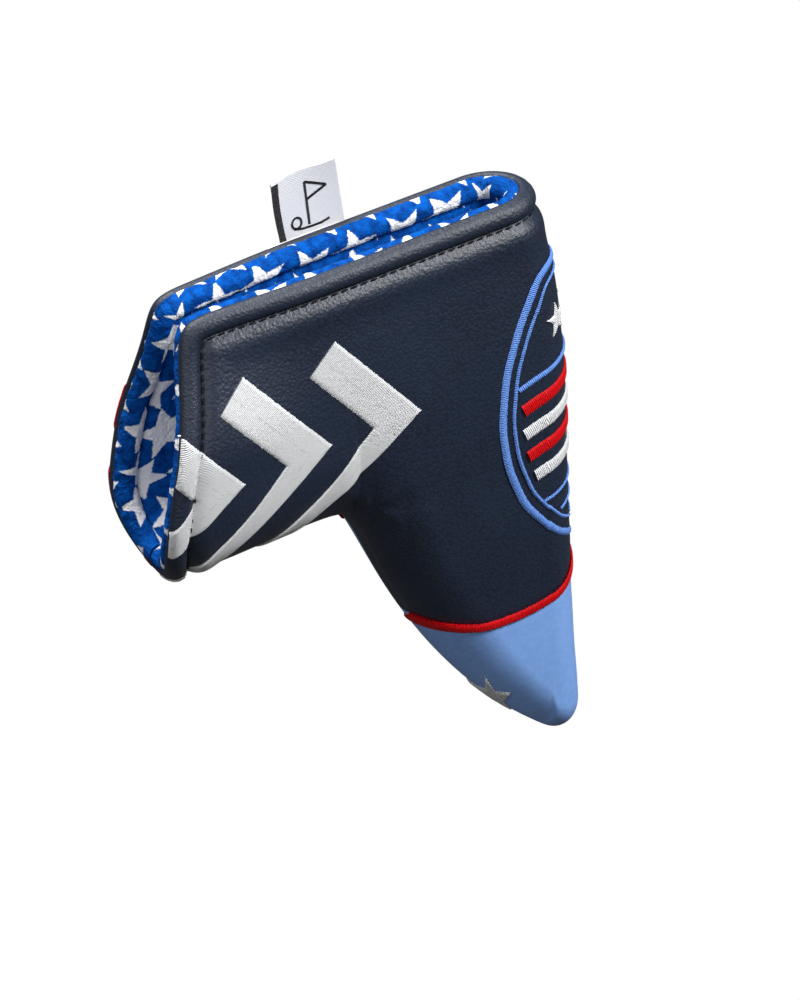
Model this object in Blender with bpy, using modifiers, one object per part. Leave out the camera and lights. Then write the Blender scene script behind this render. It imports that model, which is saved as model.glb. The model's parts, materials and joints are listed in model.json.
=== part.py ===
"""Blade putter head cover: a padded leather pouch with a plush lining and two magnetic mouth flaps.

Drawing axes, in metres: X runs from the shaft side (negative) to the spine fold, Y runs across the
two walls (front wall at -Y, back wall at +Y), and Z runs up from the toe of the pouch to its mouth.
Everything is drawn from the toe, and the frame empty then puts the origin at the putter head's seat.
"""

import math

import bmesh
import bpy
from mathutils import Matrix, Vector

# Overall sizes of the pouch
SPINE_HEIGHT = 0.160
FLAP_SEAM_HEIGHT = 0.091
STEM_WIDTH = 0.065
MOUTH_TOP_LENGTH = 0.104
MOUTH_HEEL_LENGTH = 0.117
MOUTH_HEEL_BULGE = 0.0055
TOE_WIDTH = 0.0200
BODY_WIDTH = 0.0340
BODY_WIDTH_HEIGHT = 0.095
MOUTH_TOP_WIDTH = 0.0236
MOUTH_CORNER_WIDTH = 0.0200
MOUTH_SIDE_WIDTH = 0.0384
MOUTH_SIDE_HEIGHT = 0.124

# Curvature of the walls
SPINE_TOP_INSET = 0.0045
SPINE_FOOT_INSET = 0.0045
SPINE_BULGE = 0.0040
SPINE_ROUNDING = 0.0120
TOE_ROUNDING = 0.0090
STEM_ROUNDING = 0.0200
SEAM_ROUNDING = 0.0240
MOUTH_CORNER_RADIUS = 0.0045

# Layers of the wall, from the outside in
LEATHER_THICKNESS = 0.0012
FOAM_THICKNESS = 0.0024
PLUSH_THICKNESS = 0.0032
LAYER_GAP = 0.0003
THREAD_THICKNESS = 0.0006
RIM_BEAD_WIDTH = 0.0070
LINING_DROP = 0.0008

# Living hinges of the two flaps
HINGE_HEEL_HEIGHT = FLAP_SEAM_HEIGHT + 0.0070
HINGE_SPINE_INSET = 0.0140
HINGE_DEPTH = 0.5 * BODY_WIDTH - 0.0025
HINGE_GAP = 0.0004
CLOSING_RELIEF = math.radians(7.0)
OPENING_RELIEF = math.radians(32.0)
MIDPLANE_GAP = 0.0006

# Facet of the back wall that the cover lies on
REST_FACET_DEPTH = 0.0008
REST_FACET_LENGTH = 0.0200
REST_FACET_HEIGHT = 0.0400
REST_FACET_CENTRE = (-0.0350, BODY_WIDTH_HEIGHT)

# Magnets of the closure
MAGNET_RADIUS = 0.0070
MAGNET_THICKNESS = 0.0014
UPPER_MAGNET_PLACE = (-MOUTH_TOP_LENGTH + 0.0180, SPINE_HEIGHT - 0.0165)
LOWER_MAGNET_PLACE = (-MOUTH_HEEL_LENGTH + 0.0195, SPINE_HEIGHT - 0.522 * (SPINE_HEIGHT - FLAP_SEAM_HEIGHT))

# Embroidered arrows, whose arms end below the rim
CHEVRON_COUNT = 3
CHEVRON_FIRST_TIP = -MOUTH_TOP_LENGTH + 0.0070
CHEVRON_PITCH = 0.02475
CHEVRON_TIP_HEIGHT = FLAP_SEAM_HEIGHT + 0.0265
CHEVRON_TOP_DROP = 0.0163
CHEVRON_ARM_WIDTH = 0.0105
CHEVRON_OVERRUN = 0.0002
CHEVRON_ARM_ANGLE = math.radians(52.5)

# Border between the navy leather and the toe panel
BORDER_WIDTH = 0.0022
BORDER_LAP = 0.0003
BORDER_SPINE_HEIGHT = 0.0575
BORDER_START = (-0.0030, BORDER_SPINE_HEIGHT)
BORDER_FRONT_CURVE = (
    BORDER_START,
    (-0.0120, BORDER_SPINE_HEIGHT - 0.0100),
    (-0.0360, BORDER_SPINE_HEIGHT - 0.0130),
    (-STEM_WIDTH + 0.0050, BORDER_SPINE_HEIGHT - 0.0005),
)
BORDER_BACK_CURVE = (
    BORDER_START,
    (-0.0120, BORDER_SPINE_HEIGHT + 0.0085),
    (-0.0400, BORDER_SPINE_HEIGHT + 0.0165),
    (-STEM_WIDTH - 0.0010, FLAP_SEAM_HEIGHT - 0.0030),
)
BORDER_STEPS = 6

# Crest round the spine, between the rim and the border
CREST_TOP = SPINE_HEIGHT - 0.0180
CREST_FOOT = BORDER_SPINE_HEIGHT + 0.0025
CREST_SHOULDER = 0.5 * (CREST_FOOT + CREST_TOP) - 0.0010
CREST_HALF_WIDTH = 0.0215
CREST_LINE_WIDTH = 0.0022
CREST_CHIEF_HEIGHT = 0.0150
CREST_STRIPE_COUNT = 4
CREST_STRIPE_GAP = 0.0055
CREST_BAND_LINE = 0.0016
CREST_STRIPES_FOOT = CREST_FOOT + 0.0265
CREST_STAR_RADIUS = 0.0062
STAR_WAIST = 0.42

# Star round the lower edge of the toe
TOE_STAR_RADIUS = 0.0095
TOE_STAR_PLACE = (-0.0320, 0.0205)
TOE_STAR_TILT = math.radians(-37.0)
TOE_STAR_TURN = math.radians(25.0)

# Woven label
LABEL_WIDTH = 0.0205
LABEL_HEIGHT = 0.0190
LABEL_CENTRE = -0.0600
LABEL_THICKNESS = 0.0018
RIBBON_THICKNESS = 0.0006
LABEL_TAIL_HEIGHT = 0.0080
LABEL_SEAM_CLEARANCE = 0.0007
BADGE_THICKNESS = 0.0004
BADGE_HEIGHT = 0.0110
FLAG_POLE_RADIUS = 0.0006
FLAG_LENGTH = 0.0068
FLAG_DROP = 0.0048
BALL_RADIUS = 0.0018
BALL_OFFSET = 0.0040

# Seat of the putter head, inside the toe
SEAT_INSET = 0.0170
SEAT_DEPTH = 0.0100

# How finely the soft cage is divided
SPINE_STEPS = 3
STEM_STEPS = 3
FLAP_STEPS = 3
ROUND_STEPS = 3
WALL_STEPS = 3
CAGE_OVERRUN = 0.0080
CUTTER_REACH = 0.0600
MIRROR_MERGE = 0.00002

# Depths of the layers below the outer leather surface
FOAM_TOP = LEATHER_THICKNESS + LAYER_GAP
FOAM_BOTTOM = FOAM_TOP + FOAM_THICKNESS
PLUSH_TOP = FOAM_BOTTOM + LAYER_GAP
PLUSH_BOTTOM = PLUSH_TOP + PLUSH_THICKNESS
THREAD_BOTTOM = -LAYER_GAP
THREAD_TOP = THREAD_BOTTOM - THREAD_THICKNESS

NAVY = (0.018, 0.024, 0.038)
SKY_BLUE = (0.22, 0.40, 0.78)
PALE_BLUE = (0.42, 0.62, 0.88)
RED = (0.62, 0.01, 0.02)
WHITE = (0.82, 0.82, 0.82)
ROYAL_BLUE = (0.01, 0.09, 0.42)
FOAM_GREY = (0.30, 0.30, 0.32)
NICKEL = (0.55, 0.55, 0.56)
BLACK = (0.02, 0.02, 0.02)


def clear_scene():
    """Removes the objects that the file opened with."""
    for obj in list(bpy.data.objects):
        bpy.data.objects.remove(obj, do_unlink=True)


def new_collection(name):
    collection = bpy.data.collections.new(name)
    bpy.context.scene.collection.children.link(collection)
    return collection


def material(name, colour, roughness, metallic=0.0):
    made = bpy.data.materials.new(name)
    made.use_nodes = True
    shader = made.node_tree.nodes["Principled BSDF"]
    shader.inputs["Base Color"].default_value = (*colour, 1.0)
    shader.inputs["Roughness"].default_value = roughness
    shader.inputs["Metallic"].default_value = metallic
    made.diffuse_color = (*colour, 1.0)
    return made


def add_object(name, mesh, collection, parent):
    obj = bpy.data.objects.new(name, mesh)
    collection.objects.link(obj)
    obj.parent = parent
    return obj


def as_helper(obj):
    """Marks a cutter, which shapes other objects and is no piece itself."""
    obj.hide_render = True
    obj.display_type = "WIRE"
    return obj


def ease(share):
    share = min(max(share, 0.0), 1.0)
    return share * share * (3.0 - 2.0 * share)


def mix(a, b, share):
    return a + (b - a) * share


# ---------------------------------------------------------------- outer form of the pouch


def half_width(x, z):
    """Half of the distance across the two walls, away from the seams and the spine."""
    if z < BODY_WIDTH_HEIGHT:
        rise = math.sin(0.5 * math.pi * max(z, 0.0) / BODY_WIDTH_HEIGHT)
        body = mix(TOE_WIDTH, BODY_WIDTH, rise)
    else:
        rise = min((z - BODY_WIDTH_HEIGHT) / (SPINE_HEIGHT - BODY_WIDTH_HEIGHT), 1.0)
        body = mix(BODY_WIDTH, MOUTH_TOP_WIDTH, rise**2)
    rise = (z - MOUTH_SIDE_HEIGHT) / (SPINE_HEIGHT - MOUTH_SIDE_HEIGHT)
    side = mix(MOUTH_SIDE_WIDTH, MOUTH_CORNER_WIDTH, ease(rise))
    flare = ease((-x - STEM_WIDTH) / (MOUTH_TOP_LENGTH - STEM_WIDTH))
    return 0.5 * mix(body, side, flare)


def bezier(points, share):
    """Point on a Bezier curve, as an (x, z) vector."""
    points = [Vector(point) for point in points]
    while len(points) > 1:
        points = [a.lerp(b, share) for a, b in zip(points, points[1:])]
    return points[0]


TOE_CURVE = (
    (-SPINE_FOOT_INSET, -0.0040),
    (-SPINE_FOOT_INSET - 0.007, -0.0050),
    (-0.0165, 0.0010),
)
STEM_CURVE = (
    TOE_CURVE[-1],
    (-0.0320, 0.0145),
    (-0.0555, 0.0470),
    (-STEM_WIDTH, FLAP_SEAM_HEIGHT),
)


def stations(depth):
    """Columns of the cage: (top x, foot, seam direction, rounding reach, spine angle, spine share).

    A deeper form runs further past the mouth, so that it opens the form that it is cut from.
    """
    made = []
    for step in range(SPINE_STEPS):
        angle = 0.5 * math.pi * step / SPINE_STEPS
        share = step / SPINE_STEPS
        top = -SPINE_TOP_INSET - SPINE_ROUNDING * (1.0 - math.cos(angle))
        made.append((top, bezier(TOE_CURVE, share), Vector((1.0, 0.0)), TOE_ROUNDING, angle, 1.0))
    first_top = -SPINE_TOP_INSET - SPINE_ROUNDING
    for step in range(STEM_STEPS):
        share = step / STEM_STEPS
        top = mix(first_top, -STEM_WIDTH, share)
        foot = bezier(STEM_CURVE, share)
        along = (bezier(STEM_CURVE, share + 0.01) - foot).normalized()
        reach = mix(TOE_ROUNDING, STEM_ROUNDING, share**0.5)
        made.append((top, foot, along, reach, 0.5 * math.pi, (1.0 - share) ** 2))
    overrun = CAGE_OVERRUN + depth
    top_end = -MOUTH_TOP_LENGTH - overrun
    foot_end = -MOUTH_HEEL_LENGTH - overrun
    for step in range(FLAP_STEPS + 1):
        share = step / FLAP_STEPS
        top = mix(-STEM_WIDTH, top_end, share)
        foot = Vector((mix(-STEM_WIDTH, foot_end, share), FLAP_SEAM_HEIGHT))
        reach = SEAM_ROUNDING if step else 0.5 * (SEAM_ROUNDING + STEM_ROUNDING)
        made.append((top, foot, Vector((-1.0, 0.0)), reach, 0.5 * math.pi, 0.0))
    return made


def wall_column(station, depth):
    """Points of one column on the front wall, from the seam up to above the mouth, at this depth."""
    top_x, foot, along, reach, angle, spine_share = station
    top = Vector((top_x, SPINE_HEIGHT + CAGE_OVERRUN + depth))
    length = (top - foot).length
    slant = max(abs((top - foot).normalized().cross(along)), 0.25)
    round_end = foot.lerp(top, min(reach / slant, 0.45 * length) / length)
    inset_foot = foot.lerp(top, depth / slant / length)
    column = []
    for step in range(ROUND_STEPS + WALL_STEPS + 1):
        if step < ROUND_STEPS:
            turn = 0.5 * math.pi * step / ROUND_STEPS
            place = inset_foot.lerp(round_end, 1.0 - math.cos(turn))
            fullness = math.sin(turn)
        else:
            place = round_end.lerp(top, (step - ROUND_STEPS) / WALL_STEPS)
            fullness = 1.0
        height = min(max(place.y / SPINE_HEIGHT, 0.0), 1.0)
        bulge = SPINE_BULGE * spine_share * math.sin(math.pi * height)
        x = place.x + bulge - depth * math.cos(angle)
        y = (half_width(x, place.y) - depth) * fullness * math.sin(angle)
        column.append(Vector((x, -max(y, 0.0), place.y)))
    return column


def pouch_form(name, depth, cutters, frame):
    """Closed soft form of the pouch at a depth below its outer surface, running on past the mouth."""
    columns = [wall_column(station, depth) for station in stations(depth)]
    columns.append([Vector((point.x, 0.0, point.z)) for point in columns[-1]])
    for column in columns:
        column.append(Vector((column[-1].x, 0.0, column[-1].z)))
    across, up = len(columns) - 1, len(columns[0]) - 1
    mesh = bpy.data.meshes.new(name)
    cage = bmesh.new()
    bmesh.ops.create_grid(cage, x_segments=across, y_segments=up, size=1.0)
    for vertex in cage.verts:
        column = round((vertex.co.x + 1.0) * 0.5 * across)
        row = round((vertex.co.y + 1.0) * 0.5 * up)
        vertex.co = columns[column][row]
    bmesh.ops.remove_doubles(cage, verts=cage.verts, dist=1e-6)
    bmesh.ops.recalc_face_normals(cage, faces=cage.faces)
    if sum(face.normal.y * face.calc_area() for face in cage.faces) > 0.0:
        bmesh.ops.reverse_faces(cage, faces=cage.faces)
    cage.to_mesh(mesh)
    cage.free()
    form = as_helper(add_object(name, mesh, cutters, frame))
    mirror = form.modifiers.new("both walls", "MIRROR")
    mirror.use_axis = (False, True, False)
    mirror.merge_threshold = MIRROR_MERGE
    smooth = form.modifiers.new("soft form", "SUBSURF")
    smooth.levels = 1
    smooth.render_levels = 1
    return form


# ---------------------------------------------------------------- cutters


def prism(name, outline, y_low, y_high, cutters, frame, turn=None):
    """Closed outline in the X-Z plane, extruded from y_low to y_high, and then turned."""
    curve = bpy.data.curves.new(name, "CURVE")
    curve.dimensions = "2D"
    curve.fill_mode = "BOTH"
    curve.extrude = 0.5 * (y_high - y_low)
    spline = curve.splines.new("POLY")
    spline.points.add(len(outline) - 1)
    for point, (x, z) in zip(spline.points, outline):
        point.co = (x, z, 0.0, 1.0)
    spline.use_cyclic_u = True
    flat = add_object(name + "_curve", curve, cutters, None)
    bpy.context.view_layer.update()
    graph = bpy.context.evaluated_depsgraph_get()
    mesh = bpy.data.meshes.new_from_object(flat.evaluated_get(graph))
    bpy.data.objects.remove(flat, do_unlink=True)
    mesh.name = name
    cage = bmesh.new()
    cage.from_mesh(mesh)
    bmesh.ops.remove_doubles(cage, verts=cage.verts, dist=1e-6)
    upright = Matrix.Translation((0.0, 0.5 * (y_low + y_high), 0.0)) @ Matrix.Rotation(0.5 * math.pi, 4, "X")
    bmesh.ops.transform(cage, matrix=upright, verts=cage.verts)
    if turn:
        bmesh.ops.transform(cage, matrix=turn, verts=cage.verts)
    bmesh.ops.recalc_face_normals(cage, faces=cage.faces)
    cage.to_mesh(mesh)
    cage.free()
    mesh.materials.clear()
    return as_helper(add_object(name, mesh, cutters, frame))


def mouth_edge(inset):
    """Rim of the mouth from the spine side round the corner and down the shaft side, moved inwards."""
    top = SPINE_HEIGHT - inset
    heel_drop = SPINE_HEIGHT - FLAP_SEAM_HEIGHT
    side = []
    for share in (0.12, 0.3, 0.5, 0.7, 0.86, 0.95, 1.0):
        lean = mix(MOUTH_TOP_LENGTH, MOUTH_HEEL_LENGTH, share)
        lean += MOUTH_HEEL_BULGE * math.sin(math.pi * share**2)
        side.append((-lean + inset, SPINE_HEIGHT - heel_drop * share))
    radius = max(MOUTH_CORNER_RADIUS - inset, 0.001)
    corner_x = -MOUTH_TOP_LENGTH + inset
    corner = []
    for step in range(4):
        turn = math.radians(90.0 + 30.0 * step)
        corner.append(
            (corner_x + radius * (1.0 + math.cos(turn)), top + radius * (math.sin(turn) - 1.0))
        )
    return corner + [point for point in side if point[1] < top - radius]


def below_mouth(name, inset, cutters, frame):
    """Everything below the rim, moved inwards by the inset."""
    edge = mouth_edge(inset)
    heel_x = edge[-1][0]
    outline = [(CUTTER_REACH, SPINE_HEIGHT - inset)] + edge
    outline += [(heel_x, FLAP_SEAM_HEIGHT - CUTTER_REACH), (heel_x, -CUTTER_REACH), (CUTTER_REACH, -CUTTER_REACH)]
    return prism(name, outline, -CUTTER_REACH, CUTTER_REACH, cutters, frame)


def hinge_line():
    """Ends of the living hinges in the X-Z plane, and the two directions that go with it."""
    heel = Vector((-MOUTH_HEEL_LENGTH - MOUTH_HEEL_BULGE, HINGE_HEEL_HEIGHT))
    spine = Vector((-HINGE_SPINE_INSET, SPINE_HEIGHT))
    along = (spine - heel).normalized()
    across = Vector((-along.y, along.x))
    return heel, spine, along, across


def hinge_cutter(name, side, section, cutters, frame):
    """Prism along a living hinge: section points are (across the hinge, inwards from its axis)."""
    heel, _, along, across = hinge_line()
    points = [(across.x * p, side * (HINGE_DEPTH - inward), across.y * p) for p, inward in section]
    mesh = bpy.data.meshes.new(name)
    cage = bmesh.new()
    start = Vector((heel.x, 0.0, heel.y)) - Vector((along.x, 0.0, along.y)) * CUTTER_REACH
    reach = Vector((along.x, 0.0, along.y)) * (4.0 * CUTTER_REACH)
    near = [cage.verts.new(start + Vector(point)) for point in points]
    far = [cage.verts.new(vertex.co + reach) for vertex in near]
    rims = [cage.faces.new(near), cage.faces.new(far)]
    edges = [edge for face in rims for edge in face.edges]
    bmesh.ops.bridge_loops(cage, edges=edges)
    bmesh.ops.recalc_face_normals(cage, faces=cage.faces)
    cage.to_mesh(mesh)
    cage.free()
    return as_helper(add_object(name, mesh, cutters, frame))


def flap_section():
    """Bow-tie section: room inside the axis for closing, and outside it for opening."""
    inner = HINGE_DEPTH - MIDPLANE_GAP
    outer = CUTTER_REACH - HINGE_DEPTH
    return [
        (HINGE_GAP, 0.0),
        (HINGE_GAP + inner * math.tan(CLOSING_RELIEF), inner),
        (2.0 * CUTTER_REACH, inner),
        (2.0 * CUTTER_REACH, -outer),
        (HINGE_GAP + outer * math.tan(OPENING_RELIEF), -outer),
    ]


def star_outline(radius, turn):
    """Five-pointed star round the origin."""
    outline = []
    for corner in range(10):
        reach = radius if corner % 2 == 0 else STAR_WAIST * radius
        angle = turn + math.pi * corner / 5.0
        outline.append((reach * math.cos(angle), reach * math.sin(angle)))
    return outline


# ---------------------------------------------------------------- pieces


def cut_with(obj, name, operation, cutter):
    """Adds a Boolean. EXACT drops faces between these closely nested shells, and MANIFOLD keeps them all."""
    cut = obj.modifiers.new(name, "BOOLEAN")
    cut.operation = operation
    cut.solver = "MANIFOLD"
    cut.object = cutter


def piece_from_form(name, form, steps, finish, pieces, frame):
    """A piece cut from a soft form: steps are (operation, cutter) pairs, in order."""
    obj = add_object(name, form.data.copy(), pieces, frame)
    obj.data.materials.clear()
    obj.data.materials.append(finish)
    mirror = obj.modifiers.new("both walls", "MIRROR")
    mirror.use_axis = (False, True, False)
    mirror.merge_threshold = MIRROR_MERGE
    smooth = obj.modifiers.new("soft form", "SUBSURF")
    smooth.levels = 1
    smooth.render_levels = 1
    for number, (operation, cutter) in enumerate(steps):
        cut_with(obj, f"cut {number + 1}", operation, cutter)
    return obj


def wall_frame(form, place, side, depth):
    """Matrix below a place on a form's wall, with its Z along the wall's outward normal."""
    bpy.context.view_layer.update()
    solid = form.evaluated_get(bpy.context.evaluated_depsgraph_get())
    start = Vector((place[0], side * CUTTER_REACH, place[1]))
    _, point, normal, _ = solid.ray_cast(start, Vector((0.0, -side, 0.0)))
    turn = normal.to_track_quat("Z", "Y").to_matrix().to_4x4()
    return Matrix.Translation(point - normal * depth) @ turn


def disc(name, radius, thickness, matrix, segments, collection, parent):
    mesh = bpy.data.meshes.new(name)
    cage = bmesh.new()
    bmesh.ops.create_cone(
        cage, cap_ends=True, segments=segments, radius1=radius, radius2=radius, depth=thickness
    )
    cage.to_mesh(mesh)
    cage.free()
    obj = add_object(name, mesh, collection, parent)
    obj.matrix_local = matrix
    return obj


class Workshop:
    """Collections, frame, soft forms, shared cutters and finishes."""

    def __init__(self):
        clear_scene()
        self.pieces = new_collection("putter_head_cover")
        self.cutters = new_collection("cutters")
        self.frame = bpy.data.objects.new("cover_frame", None)
        self.frame.location = (SEAT_INSET, 0.0, -SEAT_DEPTH)
        self.pieces.objects.link(self.frame)
        self.forms = {}
        self.leather = material("navy leather", NAVY, 0.45)
        self.toe_leather = material("sky blue leather", SKY_BLUE, 0.4)
        self.red_thread = material("red thread", RED, 0.5)
        self.white_thread = material("white thread", WHITE, 0.5)
        self.blue_thread = material("pale blue thread", PALE_BLUE, 0.5)
        self.plush = material("royal blue plush", ROYAL_BLUE, 0.95)
        self.foam = material("grey foam", FOAM_GREY, 0.95)
        self.magnet = material("nickel plate", NICKEL, 0.3, 1.0)
        self.ribbon = material("white satin ribbon", WHITE, 0.4)
        self.black_thread = material("black thread", BLACK, 0.6)
        self.under_rim = self.region("under_rim", LINING_DROP)
        self.under_bead = self.region("under_bead", RIM_BEAD_WIDTH + LAYER_GAP)
        self.bead_floor = self.region("bead_floor", RIM_BEAD_WIDTH)
        self.whole_mouth = self.region("whole_mouth", 0.0)
        beyond = [
            (-HINGE_GAP, -CUTTER_REACH),
            (-HINGE_GAP, 2.0 * CUTTER_REACH),
            (3.0 * CUTTER_REACH, 2.0 * CUTTER_REACH),
            (3.0 * CUTTER_REACH, -CUTTER_REACH),
        ]
        self.beyond_hinge = hinge_cutter("beyond_hinge", -1, beyond, self.cutters, self.frame)
        self.flap_side = {
            "front": hinge_cutter("front_flap_side", -1, flap_section(), self.cutters, self.frame),
            "back": hinge_cutter("back_flap_side", 1, flap_section(), self.cutters, self.frame),
        }

    def region(self, name, inset):
        return below_mouth(name, inset, self.cutters, self.frame)

    def form(self, depth):
        """The soft form at this depth, made once."""
        key = round(depth * 1e6)
        if key not in self.forms:
            name = f"form_{'out' if key < 0 else 'in'}_{abs(key)}"
            self.forms[key] = pouch_form(name, depth, self.cutters, self.frame)
        return self.forms[key]

    def shape(self, name, outline, y_low=-CUTTER_REACH, y_high=CUTTER_REACH, turn=None):
        return prism(name, outline, y_low, y_high, self.cutters, self.frame, turn)

    def layer(self, name, outer, inner, steps, finish):
        """A piece of the wall between two depths."""
        steps = [("DIFFERENCE", self.form(inner))] + steps
        return piece_from_form(name, self.form(outer), steps, finish, self.pieces, self.frame)


def one_side(side):
    """Range of Y that holds one wall."""
    if side == "front":
        return -CUTTER_REACH, -MIDPLANE_GAP
    return MIDPLANE_GAP, CUTTER_REACH


def border_line(shop, side, offset, lap):
    """Region below the border on one wall, moved down by the offset and lapping over the midplane."""
    if side == "front":
        curve = BORDER_FRONT_CURVE
    else:
        curve = BORDER_BACK_CURVE
    points = [Vector((CUTTER_REACH, BORDER_SPINE_HEIGHT))]
    points += [bezier(curve, step / BORDER_STEPS) for step in range(BORDER_STEPS + 1)]
    points.append(Vector((-MOUTH_HEEL_LENGTH, 0.5 * points[-1].y)))
    outline = [(point.x, point.y - offset) for point in points]
    outline += [(outline[-1][0], -CUTTER_REACH), (outline[0][0], -CUTTER_REACH)]
    low, high = (-CUTTER_REACH, 0.0) if side == "front" else (-lap, CUTTER_REACH)
    return shop.shape(f"{side}_border_{round(offset * 1e5)}", outline, low, high)


def build_pocket(shop):
    """Shell, toe panel, border, foam and lining of the fixed pocket."""
    lap = BORDER_LAP + LAYER_GAP
    navy_edge = [("DIFFERENCE", border_line(shop, side, 0.0, lap)) for side in ("front", "back")]
    pocket = [("INTERSECT", shop.under_bead), ("DIFFERENCE", shop.beyond_hinge)]
    facet = [("DIFFERENCE", rest_facet(shop))]
    shop.layer("pocket_shell", 0.0, LEATHER_THICKNESS, pocket + navy_edge + facet, shop.leather)
    lower = LAYER_GAP + BORDER_WIDTH
    toe_region = toe_side(shop, lower + LAYER_GAP)
    shop.layer("toe_panel", 0.0, LEATHER_THICKNESS, [("INTERSECT", toe_region)], shop.toe_leather)
    band_steps = [("INTERSECT", toe_side(shop, LAYER_GAP)), ("DIFFERENCE", toe_side(shop, lower))]
    shop.layer("toe_border_stitch", THREAD_TOP, LEATHER_THICKNESS, band_steps, shop.red_thread)
    shop.layer("pocket_foam", FOAM_TOP, FOAM_BOTTOM, pocket, shop.foam)
    lining = [("INTERSECT", shop.under_rim), ("DIFFERENCE", shop.beyond_hinge)]
    shop.layer("pocket_lining", PLUSH_TOP, PLUSH_BOTTOM, lining, shop.plush)
    rim = [("INTERSECT", shop.whole_mouth), ("DIFFERENCE", shop.bead_floor), ("DIFFERENCE", shop.beyond_hinge)]
    middle = -STEM_WIDTH
    reach = SPINE_HEIGHT + CUTTER_REACH
    halves = {
        "spine_rim_bead": [(middle, -CUTTER_REACH), (CUTTER_REACH, -CUTTER_REACH), (CUTTER_REACH, reach), (middle, reach)],
        "heel_rim_bead": [(middle, -CUTTER_REACH), (middle, reach), (4 * middle, reach), (4 * middle, -CUTTER_REACH)],
    }
    for name, outline in halves.items():
        steps = rim + [("INTERSECT", shop.shape(name + "_side", outline))]
        shop.layer(name, 0.0, FOAM_BOTTOM, steps, shop.leather)


def rest_facet(shop):
    """Room beyond the flat spot of the back wall."""
    x, z = REST_FACET_CENTRE
    half_x, half_z = 0.5 * REST_FACET_LENGTH, 0.5 * REST_FACET_HEIGHT
    outline = [(x - half_x, z - half_z), (x + half_x, z - half_z)]
    outline += [(x + half_x, z + half_z), (x - half_x, z + half_z)]
    return shop.shape("rest_facet", outline, 0.5 * BODY_WIDTH - REST_FACET_DEPTH, CUTTER_REACH)


def toe_side(shop, offset):
    """Region below the border on both walls, as one cutter."""
    front = border_line(shop, "front", offset, BORDER_LAP)
    back = border_line(shop, "back", offset, BORDER_LAP)
    cut_with(front, "both walls", "UNION", back)
    return front


def build_flap(shop, side):
    """Shell, foam, lining, rim bead and magnets of one flap."""
    sign = -1.0 if side == "front" else 1.0
    flap = [("INTERSECT", shop.under_bead), ("INTERSECT", shop.flap_side[side])]
    shop.layer(f"{side}_flap_shell", 0.0, LEATHER_THICKNESS, flap, shop.leather)
    foam = shop.layer(f"{side}_flap_foam", FOAM_TOP, FOAM_BOTTOM, flap, shop.foam)
    lining = [("INTERSECT", shop.under_rim), ("INTERSECT", shop.flap_side[side])]
    shop.layer(f"{side}_flap_lining", PLUSH_TOP, PLUSH_BOTTOM, lining, shop.plush)
    rim = [("INTERSECT", shop.whole_mouth), ("DIFFERENCE", shop.bead_floor)]
    rim.append(("INTERSECT", shop.flap_side[side]))
    shop.layer(f"{side}_rim_bead", 0.0, FOAM_BOTTOM, rim, shop.leather)
    foam_surface = shop.form(FOAM_TOP)
    for level, place in (("upper", UPPER_MAGNET_PLACE), ("lower", LOWER_MAGNET_PLACE)):
        matrix = wall_frame(foam_surface, place, sign, 0.5 * FOAM_THICKNESS)
        name = f"{side}_{level}_magnet"
        magnet = disc(name, MAGNET_RADIUS, MAGNET_THICKNESS, matrix, 24, shop.pieces, shop.frame)
        magnet.data.materials.append(shop.magnet)
        hole_radius = MAGNET_RADIUS + LAYER_GAP
        hole_depth = 3.0 * FOAM_THICKNESS
        hole = disc(name + "_hole", hole_radius, hole_depth, matrix, 24, shop.cutters, shop.frame)
        cut_with(foam, level + " magnet hole", "DIFFERENCE", as_helper(hole))


def chevron_outline(tip_x):
    """Arrow of two arms, pointing to the spine, with the lower arm running on to the seam."""
    tip = Vector((tip_x, CHEVRON_TIP_HEIGHT))
    notch = tip - Vector((CHEVRON_ARM_WIDTH / math.sin(CHEVRON_ARM_ANGLE), 0.0))
    rise = Vector((-math.cos(CHEVRON_ARM_ANGLE), math.sin(CHEVRON_ARM_ANGLE)))
    fall = Vector((rise.x, -rise.y))
    reach = SPINE_HEIGHT - CHEVRON_TOP_DROP - CHEVRON_TIP_HEIGHT
    outer_top = tip + rise * (reach / rise.y)
    inner_top = outer_top - Vector((math.sin(CHEVRON_ARM_ANGLE), math.cos(CHEVRON_ARM_ANGLE))) * CHEVRON_ARM_WIDTH
    drop = (CHEVRON_TIP_HEIGHT - FLAP_SEAM_HEIGHT + CHEVRON_OVERRUN) / math.sin(CHEVRON_ARM_ANGLE)
    return [tip, outer_top, inner_top, notch, notch + fall * drop, tip + fall * drop]


def build_chevrons(shop, side, finish):
    """Three embroidered arrows on one wall, each parted where it crosses the living hinge."""
    low, high = one_side(side)
    for number in range(1, CHEVRON_COUNT + 1):
        outline = chevron_outline(CHEVRON_FIRST_TIP + CHEVRON_PITCH * (number - 1))
        arrow = shop.shape(f"{side}_chevron_{number}_outline", outline, low, high)
        shape = [("INTERSECT", arrow), ("INTERSECT", shop.under_rim)]
        upper = shape + [("INTERSECT", shop.flap_side[side])]
        lower = shape + [("DIFFERENCE", shop.beyond_hinge)]
        shop.layer(f"{side}_chevron_{number}_upper", THREAD_TOP, THREAD_BOTTOM, upper, finish)
        shop.layer(f"{side}_chevron_{number}_lower", THREAD_TOP, THREAD_BOTTOM, lower, finish)


def crest_outline(inset):
    """Half of a shield folded round the spine, seen from its side."""
    left = -CREST_HALF_WIDTH + inset
    top = CREST_TOP - inset
    foot = CREST_FOOT + 1.6 * inset
    waist = mix(foot, CREST_SHOULDER, 0.35)
    return [
        (CUTTER_REACH, top),
        (left, top),
        (left - 0.0008, mix(CREST_SHOULDER, top, 0.5)),
        (left, CREST_SHOULDER),
        (0.62 * left, waist),
        (-SPINE_FOOT_INSET, foot + 0.0035),
        (0.0, foot),
        (CUTTER_REACH, foot),
    ]


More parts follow.
